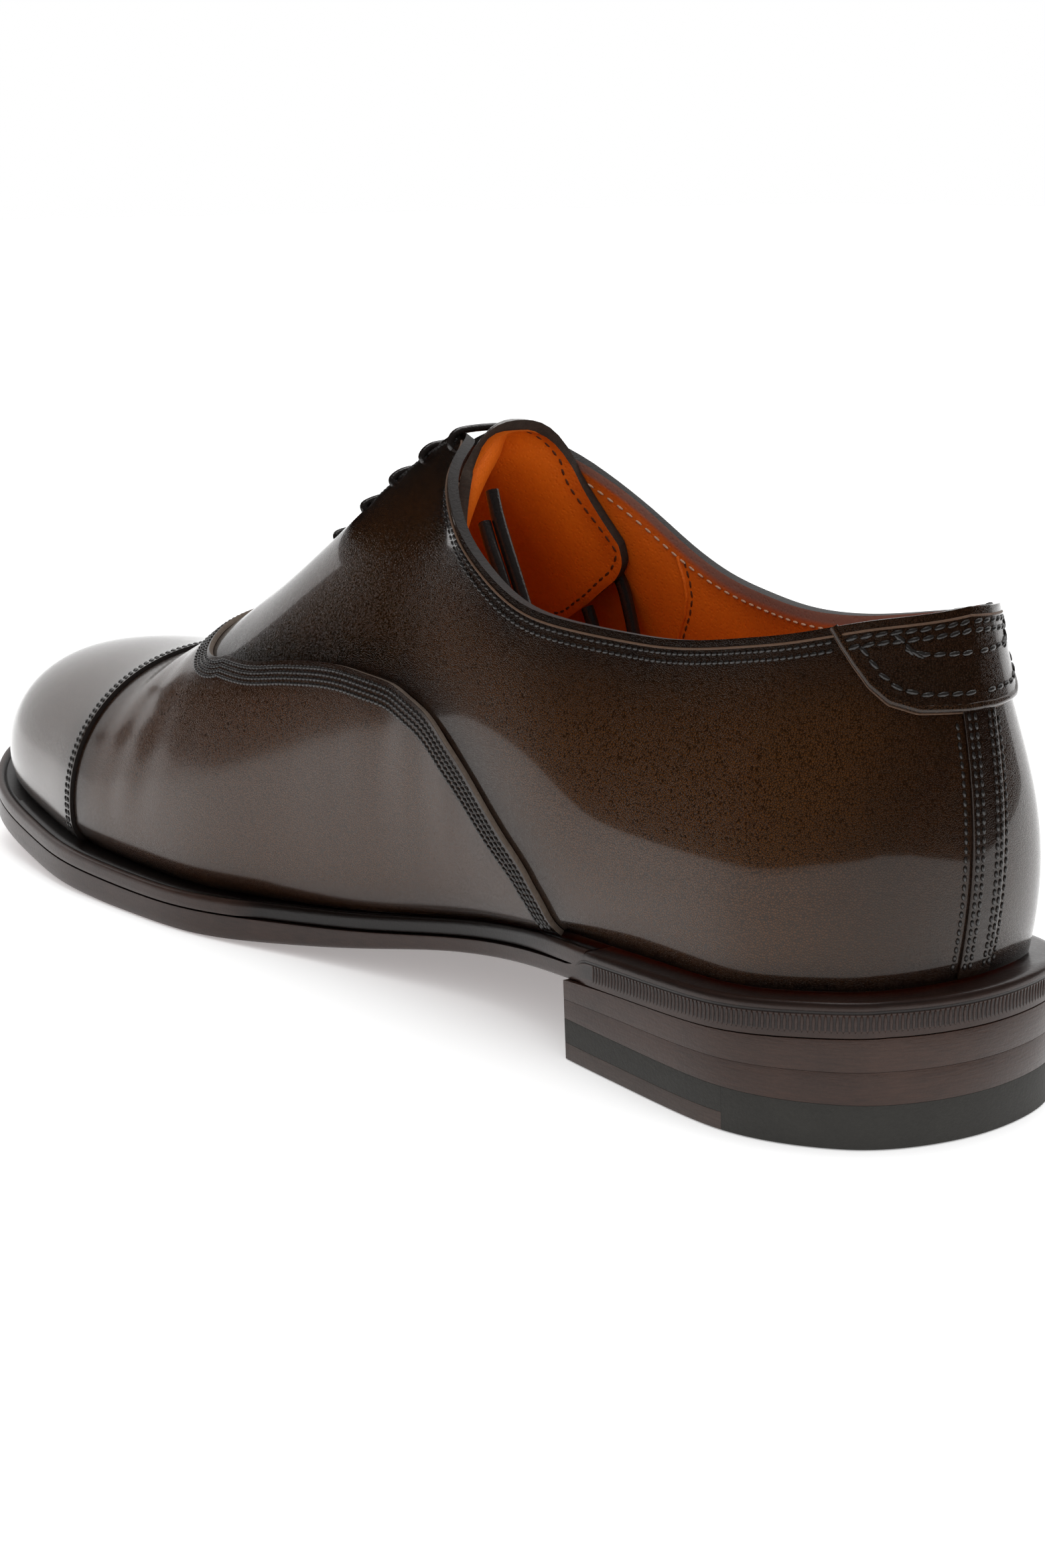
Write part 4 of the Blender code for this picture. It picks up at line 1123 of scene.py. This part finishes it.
# lace through the eyelets, and its two free ends inside the collar
laceWork = {
    "radius": 0.75, "endRadius": 1.3, "pairs": 5, "pitch": 11.3, "top": 128.5, "inset": 4.2, "wall": 2.0,
    "clear": 0.05, "turn": 0.8, "sink": 0.45, "lowestRise": 0.4, "tries": 600,
    "medialEnd": (
        (-13.2, 111.6, 96.5), (-13.4, 109.8, 92.2), (-13.5, 107.2, 87.2), (-13.5, 104.4, 82.0), (-13.4, 101.6, 76.5),
        (-13.0, 99.0, 71.0), (-12.0, 96.6, 65.2), (-10.2, 94.4, 59.0), (-8.8, 92.6, 52.8), (-9.5, 91.9, 49.8),
        (-11.5, 91.4, 47.8), (-14.3, 91.2, 47.1), (-17.1, 91.4, 47.8), (-19.1, 91.9, 49.8), (-19.8, 92.6, 52.8),
        (-19.0, 94.8, 59.0), (-17.6, 97.2, 65.2), (-16.6, 99.8, 71.0), (-16.2, 102.6, 76.5), (-16.2, 105.4, 82.0),
        (-16.1, 108.2, 86.6), (-15.6, 110.8, 90.6),
    ),
    "lateralEnd": (
        (19.2, 114.8, 79.0), (19.6, 112.3, 75.4), (19.8, 110.7, 71.3), (19.8, 109.2, 67.0), (19.7, 107.6, 62.0),
        (19.6, 105.9, 57.0),
        (19.5, 105.1, 52.8), (19.4, 105.8, 49.8), (19.2, 107.8, 47.8), (19.0, 110.6, 47.1), (18.8, 113.4, 47.8),
        (18.6, 115.4, 49.8), (18.4, 116.1, 52.8), (18.1, 116.4, 57.5), (17.8, 117.2, 62.0), (17.6, 118.6, 66.0),
        (17.4, 120.4, 70.0),
    ),
}


def laceHole(pair, side):
    way = float(wayOf(laceWork["top"] + laceWork["pitch"] * pair))
    rises = np.linspace(laceWork["lowestRise"], 1.0, laceWork["tries"])
    far = np.linalg.norm(upperFace(way, rises, side) - upperFace(way, 1.0, side), axis=-1)
    rise = rises[np.argmin(np.abs(far - laceWork["inset"]))]
    return upperFace(way, rise, side), faceNormal(way, rise, side)


def overEdge(pair, side):
    way = float(wayOf(laceWork["top"] + laceWork["pitch"] * pair))
    return upperFace(way, 1.0, side) + faceNormal(way, 1.0, side) * (laceWork["radius"] - laceWork["sink"])


def throughHole(pair, side, bar, run):
    place, normal = laceHole(pair, side)
    depth = laceWork["radius"] + laceWork["clear"]
    inside = place - normal * (laceWork["wall"] + depth) + run * laceWork["turn"]
    return [inside, place - normal, place + normal * depth + bar * laceWork["turn"]]


def laceRoute():
    route, side, still = [], medial, np.zeros(3)
    arrived = still
    for pair in reversed(range(laceWork["pairs"])):
        end = laceHole(pair, -side)[0]
        bar = unit(overEdge(pair, side) - laceHole(pair, side)[0])
        leaving = unit(laceHole(pair - 1, -side)[0] - end) if pair else still
        route += throughHole(pair, side, bar, -arrived)
        route += [overEdge(pair, side), overEdge(pair, -side)]
        route += throughHole(pair, -side, unit(overEdge(pair, -side) - end), leaving)[::-1]
        arrived, side = leaving, -side
    return np.array(route)


def smoothRoute(points, steps):
    points = np.asarray(points, float)
    path = [points[0]]
    for i in range(len(points) - 1):
        a, b, c, d = points[max(i - 1, 0)], points[i], points[i + 1], points[min(i + 2, len(points) - 1)]
        for t in np.linspace(0, 1, steps + 1)[1:]:
            curve = (2 * a - 5 * b + 4 * c - d) * t**2 + (3 * b - a - 3 * c + d) * t**3
            path.append(0.5 * (2 * b + (c - a) * t + curve))
    return np.array(path)


def drawTube(name, path, radius, finish, resolution=4):
    line = bpy.data.curves.new(name, "CURVE")
    line.dimensions = "3D"
    line.bevel_depth = radius * mm
    line.bevel_resolution = resolution
    line.use_fill_caps = True
    spline = line.splines.new("POLY")
    spline.points.add(len(path) - 1)
    for point, place in zip(spline.points, toMetres(path)):
        point.co = (*place, 1.0)
    line.materials.append(finishes[finish])
    piece = bpy.data.objects.new(name, line)
    bpy.context.scene.collection.objects.link(piece)
    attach(piece, "root")
    return piece


def makeLace():
    bars = drawTube("laceBars", smoothRoute(laceRoute(), 6), laceWork["radius"], "cord")
    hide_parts("lace")
    for name, route, node in (("laceEndMedial", "medialEnd", "lace_end_medial"),
                              ("laceEndLateral", "lateralEnd", "lace_end_lateral")):
        path = smoothRoute(laceWork[route], 4)
        piece = drawTube(name, path, laceWork["endRadius"], "cord")
        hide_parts(node)


makeLace()
print("lace threaded")

# stitches: one short thread shape, set along every seam
threadSizes = {  # length, width, height
    "fine": (1.35, 0.9, 0.6), "collar": (1.3, 0.75, 0.5), "bold": (2.3, 0.95, 0.6), "lining": (1.6, 0.55, 0.35),
    "notch": (3.3, 0.66, 0.36),
}


def threadShape():
    bpy.ops.mesh.primitive_uv_sphere_add(segments=6, ring_count=4, radius=0.5)
    start = bpy.context.object
    points = np.array([vertex.co[:] for vertex in start.data.vertices])
    faces = [tuple(face.vertices) for face in start.data.polygons]
    bpy.data.objects.remove(start)
    return points[:, [2, 0, 1]], faces


threadPoints, threadFaces = threadShape()


def readRun(at, run, line):  # places or normals at lengths along a line
    return np.stack([np.interp(at, run, column) for column in line.T], -1)


def stitchesAlong(places, normals, pitch, slant=0.0):
    run = runLength(places)
    at = np.arange(pitch * 0.5, run[-1], pitch)
    along = readRun(at + 0.4, run, places) - readRun(at - 0.4, run, places)
    normal = unit(readRun(at, run, normals))
    along = unit(along - normal * (along * normal).sum(-1, keepdims=True))
    turn = math.radians(slant)
    return readRun(at, run, places), along * math.cos(turn) + np.cross(normal, along) * math.sin(turn), normal


def sewSeam(name, rows, size, finish, slot):
    thread = threadPoints * threadSizes[size]
    points, faces = [], []
    for centre, along, normal in rows:
        for middle, *axes in zip(centre, along, np.cross(normal, along), normal):
            faces += [tuple(k + len(points) * len(thread) for k in face) for face in threadFaces]
            points.append(middle + thread @ np.array(axes))
    mesh = bpy.data.meshes.new(name)
    mesh.from_pydata(toMetres(np.concatenate(points)).tolist(), [], faces)
    mesh.validate()
    mesh.shade_smooth()
    piece = bpy.data.objects.new(name, mesh)
    bpy.context.scene.collection.objects.link(piece)
    mesh.materials.append(finishes[finish])
    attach(piece, "root")


def insideOnly(way, rise, low=0.012, high=0.9995):
    keep = (rise > low) & (rise < high)
    return way[keep], rise[keep]


def topLine(side, start, end, inset, count=160):
    way = np.linspace(start, end, count)
    return beside(way, np.ones(count), side, -side * inset)


def vampRow(side, inset):
    return insideOnly(*beside(*seamLines[side], side, -side * inset))


def capRow(side, inset):
    distance = capSeam["distance"] + capSeam["gap"] / 2 + inset
    return np.full(120, float(wayOf(distance))), np.linspace(0.04, 0.998, 120)


def collarRow(side, inset):
    return topLine(side, tabFronts[side] + 0.004, 0.452, inset)


def facingRow(side, inset):
    return topLine(side, 0.462, 0.585, inset, 80)


def backRow(side, inset):
    return backFace(np.full(120, inset * side), np.linspace(27.5, 69.5, 120), side)


def tabTopRow(side, inset):
    return topLine(side, 0.004, tabFronts[side] - 0.012, inset, 60)


def tabRow(side, inset):
    return insideOnly(*beside(*tabEdges[side], side, side * inset), 0.0, 0.96)


def tabLowRow(side, inset):
    return [line[2:] for line in tabRow(side, inset)]  # the two sides' rows keep apart at the back


def liningRow(side, inset):
    return topLine(side, 0.03, 0.44, inset)


seamRows = {  # line, insets, height over the leather, pitch, slant
    "vampStitches": ((vampRow, (1.3, 2.4, 3.5, 4.6), 1.2, 1.3, 14.0),),
    "capStitches": ((capRow, (1.0, 2.2), 2.02, 1.5, 32.0),),
    "collarStitches": (
        (collarRow, (2.4, 3.9), 0.05, 1.4, 12.0), (facingRow, (2.2,), 0.05, 1.4, 12.0),
        (backRow, (1.6, 2.8), 0.6, 1.55, 6.0), (backRow, (4.8,), 0.03, 1.55, 6.0),
    ),
    "tabStitches": (
        (tabTopRow, (2.4, 3.9), 1.25, 2.4, 12.0), (tabLowRow, (2.2,), 1.28, 2.6, 8.0),
        (tabRow, (8.4,), 1.28, 2.6, 8.0),
    ),
    "liningStitches": ((liningRow, (2.9,), -2.25, 2.4, 0.0),),
}
seamThreads = {  # size, finish, slot
    "vampStitches": ("fine", "darkThread", "vamp_calf"), "capStitches": ("fine", "darkThread", "cap_calf"),
    "collarStitches": ("collar", "darkThread", "upper_calf"), "tabStitches": ("bold", "darkThread", "tab_calf"),
    "liningStitches": ("lining", "paleThread", "upper_calf"),
}


def sewUpper():
    border = stitchesAlong(*tongueBorder(tonguePlaces()), tongue["stitchPitch"])
    sewSeam("tongueStitches", [border], "lining", "rawThread", "tongue_leather")
    for name, lines in seamRows.items():
        rows = []
        for drawRow, insets, height, pitch, slant in lines:
            for side, inset in ((side, inset) for side in bothSides for inset in insets):
                way, rise = drawRow(side, inset)
                out = faceNormal(way, rise, side) * math.copysign(1.0, height)  # inwards on the lining
                rows.append(stitchesAlong(wornFace(way, rise, side, height), out, pitch, slant))
        sewSeam(name, rows, *seamThreads[name])


sewUpper()
print("seams sewn")

# seam down the lining behind each facing
liningSeam = {
    "line": (  # rise, way
        (0.94, 0.395), (0.9156, 0.3938), (0.8758, 0.3919), (0.8249, 0.3916), (0.7612, 0.3945), (0.7129, 0.398),
        (0.55, 0.41),
    ),
    "radius": 0.4, "beside": 1.4, "pitch": 2.0, "points": 60, "inward": 3.0,
}


def sewLining():
    wall = bpy.data.objects["quarters"]
    riseLine, wayLine = np.array(liningSeam["line"])[::-1].T
    rise = np.linspace(riseLine[0], riseLine[-1], liningSeam["points"])
    way = np.interp(rise, riseLine, wayLine)
    rows = []
    for side, name in ((lateral, "liningSeamLateral"), (medial, "liningSeamMedial")):
        inside = wornFace(way, rise, side, -liningSeam["inward"])
        for shift in (0.0, liningSeam["beside"]):
            places, normals = [], []
            for point in inside - np.array((0.0, shift, 0.0)):
                place, normal = wall.closest_point_on_mesh(Vector(toMetres(point)))[1:3]
                places.append(np.array(place) / mm + shoeMiddle)
                normals.append(np.array(normal))
            if shift:
                rows.append(stitchesAlong(np.array(places), np.array(normals), liningSeam["pitch"]))
            else:
                drawTube(name, np.array(places), liningSeam["radius"], "lining", 3)
    sewSeam("liningSeamStitches", rows, "lining", "rawThread", "upper_calf")


sewLining()
print("lining sewn")


# upright notches wheeled into the seat's edge
seatWheel = {"end": 58.0, "points": 200, "pitch": 0.96, "down": 0.58}


def wheelSeat():
    rows = []
    for side in bothSides:
        way = np.linspace(0, float(wayOf(seatWheel["end"])), seatWheel["points"])
        plan = outlinePoint(way, side, soleMargin(way, side))
        run = runLength(plan)
        at = np.arange(seatWheel["pitch"] / 2, run[-1], seatWheel["pitch"])
        x, y = readRun(at, run, plan).T
        ahead = readRun(at + 0.5, run, plan) - readRun(at - 0.5, run, plan)
        out = unit(np.stack((ahead[:, 1], -ahead[:, 0], np.zeros(len(at))), -1) * side)
        z = soleTop(y) - seatWheel["down"] * (soleTop(y) - soleBottom(y))
        rows.append((np.stack((x, y, z), -1), np.tile((0.0, 0.0, 1.0), (len(at), 1)), out))
    sewSeam("seatNotches", rows, "notch", "soleEdge", "sole_leather")


wheelSeat()
print("seat wheeled")

# thin tan bead under the rolled collar edge, and the folded lower edge of the tab
collarBead = {
    "inset": 1.5, "radius": 0.22, "roll": 0.75, "rollHeight": 0.75, "underline": 0.2, "end": 0.455, "points": 200,
    "height": 0.1, "overTab": 1.15,
}


def roundTheHeel(lines):
    # joins two lines that start at the back, from the medial end to the lateral one
    path = []
    for side in (medial, lateral):
        places = lines[side]
        places[0, 0] = 0.0
        path.append(places[::-1] if side == medial else places[1:])
    return np.concatenate(path)


def makeBead():
    beads, rolls, underlines = {}, {}, {}
    for side in (medial, lateral):
        way, rise = topLine(side, 0.0, collarBead["end"], collarBead["inset"], collarBead["points"])
        onTab = 1 - smoothStep(tabFronts[side] - 0.012, tabFronts[side] + 0.004, way)
        height = collarBead["height"] + collarBead["overTab"] * onTab
        beads[side] = wornFace(way, np.minimum(rise, 0.9995), side, height)
        rolls[side] = wornFace(*tabEdges[side], side, collarBead["rollHeight"])
        under = beside(*tabEdges[side], side, -side * (collarBead["roll"] + 0.05))
        underlines[side] = wornFace(*under, side, collarBead["height"])
    for name, lines, radius, finish, slot in (
            ("collarBead", beads, collarBead["radius"], "bead", "upper_calf"),
            ("tabRoll", rolls, collarBead["roll"], "tab", "tab_calf"),
            ("tabUnderline", underlines, collarBead["underline"], "bead", "tab_calf")):
        drawTube(name, roundTheHeel(lines), radius, finish, 3)


makeBead()
print("bead laid")

# floor and light
studio = {
    "floorSize": 12.0, "floorColour": (0.86, 0.86, 0.86, 1.0), "floorGlow": 0.3, "floorHeight": -0.0002,
    "white": (1.0, 1.0, 1.0, 1.0), "air": 1.0, "sun": 0.9, "sunAngle": 80.0, "sunTilt": (14.0, 10.0, 0.0),
    "softbox": {"place": (0.3, 0.25, 1.5), "aim": (0.0, 0.0, 0.05), "size": 1.2, "power": 6.0},
    "cardColour": (0.012, 0.011, 0.01, 1.0), "cardHeight": 1.3,
    "cardLine": (  # lower edge of the dark cards that keep the white room off the polished leather
        (0.28, -0.16, 0.03), (0.08, -0.3, 0.0), (-0.04, -0.3, 0.028), (-0.12, -0.3, 0.039), (-0.42, -0.37, 0.044),
        (-0.42, -0.23, 0.055), (-0.42, -0.015, 0.053), (-0.42, 0.145, 0.05), (-0.15, 0.145, 0.035),
        (-0.06, 0.145, 0.052),
    ),
    "smallCards": (  # ends of the lower edge, height
        ((-0.064, 0.083, 0.047), (-0.031, 0.083, 0.049), 0.8), ((-0.034, 0.03, 0.084), (0.02, 0.03, 0.084), 0.2),
    ),
}


def layFloor():
    finish = Finish("paleFloor", Roughness=0.55, Base_Color=studio["floorColour"], Emission_Color=studio["white"],
                    Emission_Strength=studio["floorGlow"])  # a light table under the shoe
    bpy.ops.mesh.primitive_plane_add(size=studio["floorSize"])
    floor = bpy.context.object
    floor.name = "studioFloor"
    floor.location = (0, 0, studio["floorHeight"])
    floor.data.materials.append(finish.material)


def hangCards():
    black = Finish("blackCard", Roughness=1.0, Specular_IOR_Level=0.0, Base_Color=studio["cardColour"])
    line = studio["cardLine"]
    cards = [(start, end, studio["cardHeight"]) for start, end in zip(line, line[1:])]
    for number, (start, end, height) in enumerate(cards + list(studio["smallCards"])):
        bpy.ops.mesh.primitive_plane_add(size=1.0)
        card = bpy.context.object
        card.name = "darkCard" + str(number)
        start, end, rise = Vector(start), Vector(end), Vector((0, 0, height))
        for vertex, corner in zip(card.data.vertices, (start, end, start + rise, end + rise)):
            vertex.co = corner
        card.data.materials.append(black.material)
        card.visible_camera = card.visible_diffuse = card.visible_shadow = False  # only mirrored in the gloss


def setLights():
    box = studio["softbox"]
    bpy.ops.object.light_add(type="AREA", location=box["place"])
    lamp = bpy.context.object
    lamp.name = "topSoftbox"
    lamp.data.size = box["size"]
    lamp.data.energy = box["power"]
    lamp.rotation_euler = (Vector(box["aim"]) - Vector(box["place"])).to_track_quat("-Z", "Y").to_euler()
    bpy.ops.object.light_add(type="SUN", rotation=[math.radians(tilt) for tilt in studio["sunTilt"]])
    sky = bpy.context.object
    sky.name = "ceilingLight"
    sky.data.energy = studio["sun"]
    sky.data.angle = math.radians(studio["sunAngle"])
    world = bpy.data.worlds.new("studioAir")
    world.use_nodes = True
    air = world.node_tree.nodes["Background"]
    air.inputs["Color"].default_value = studio["white"]
    air.inputs["Strength"].default_value = studio["air"]
    bpy.context.scene.world = world
    bpy.context.scene.view_settings.view_transform = "Standard"


layFloor()
hangCards()
setLights()
print("studio lit")
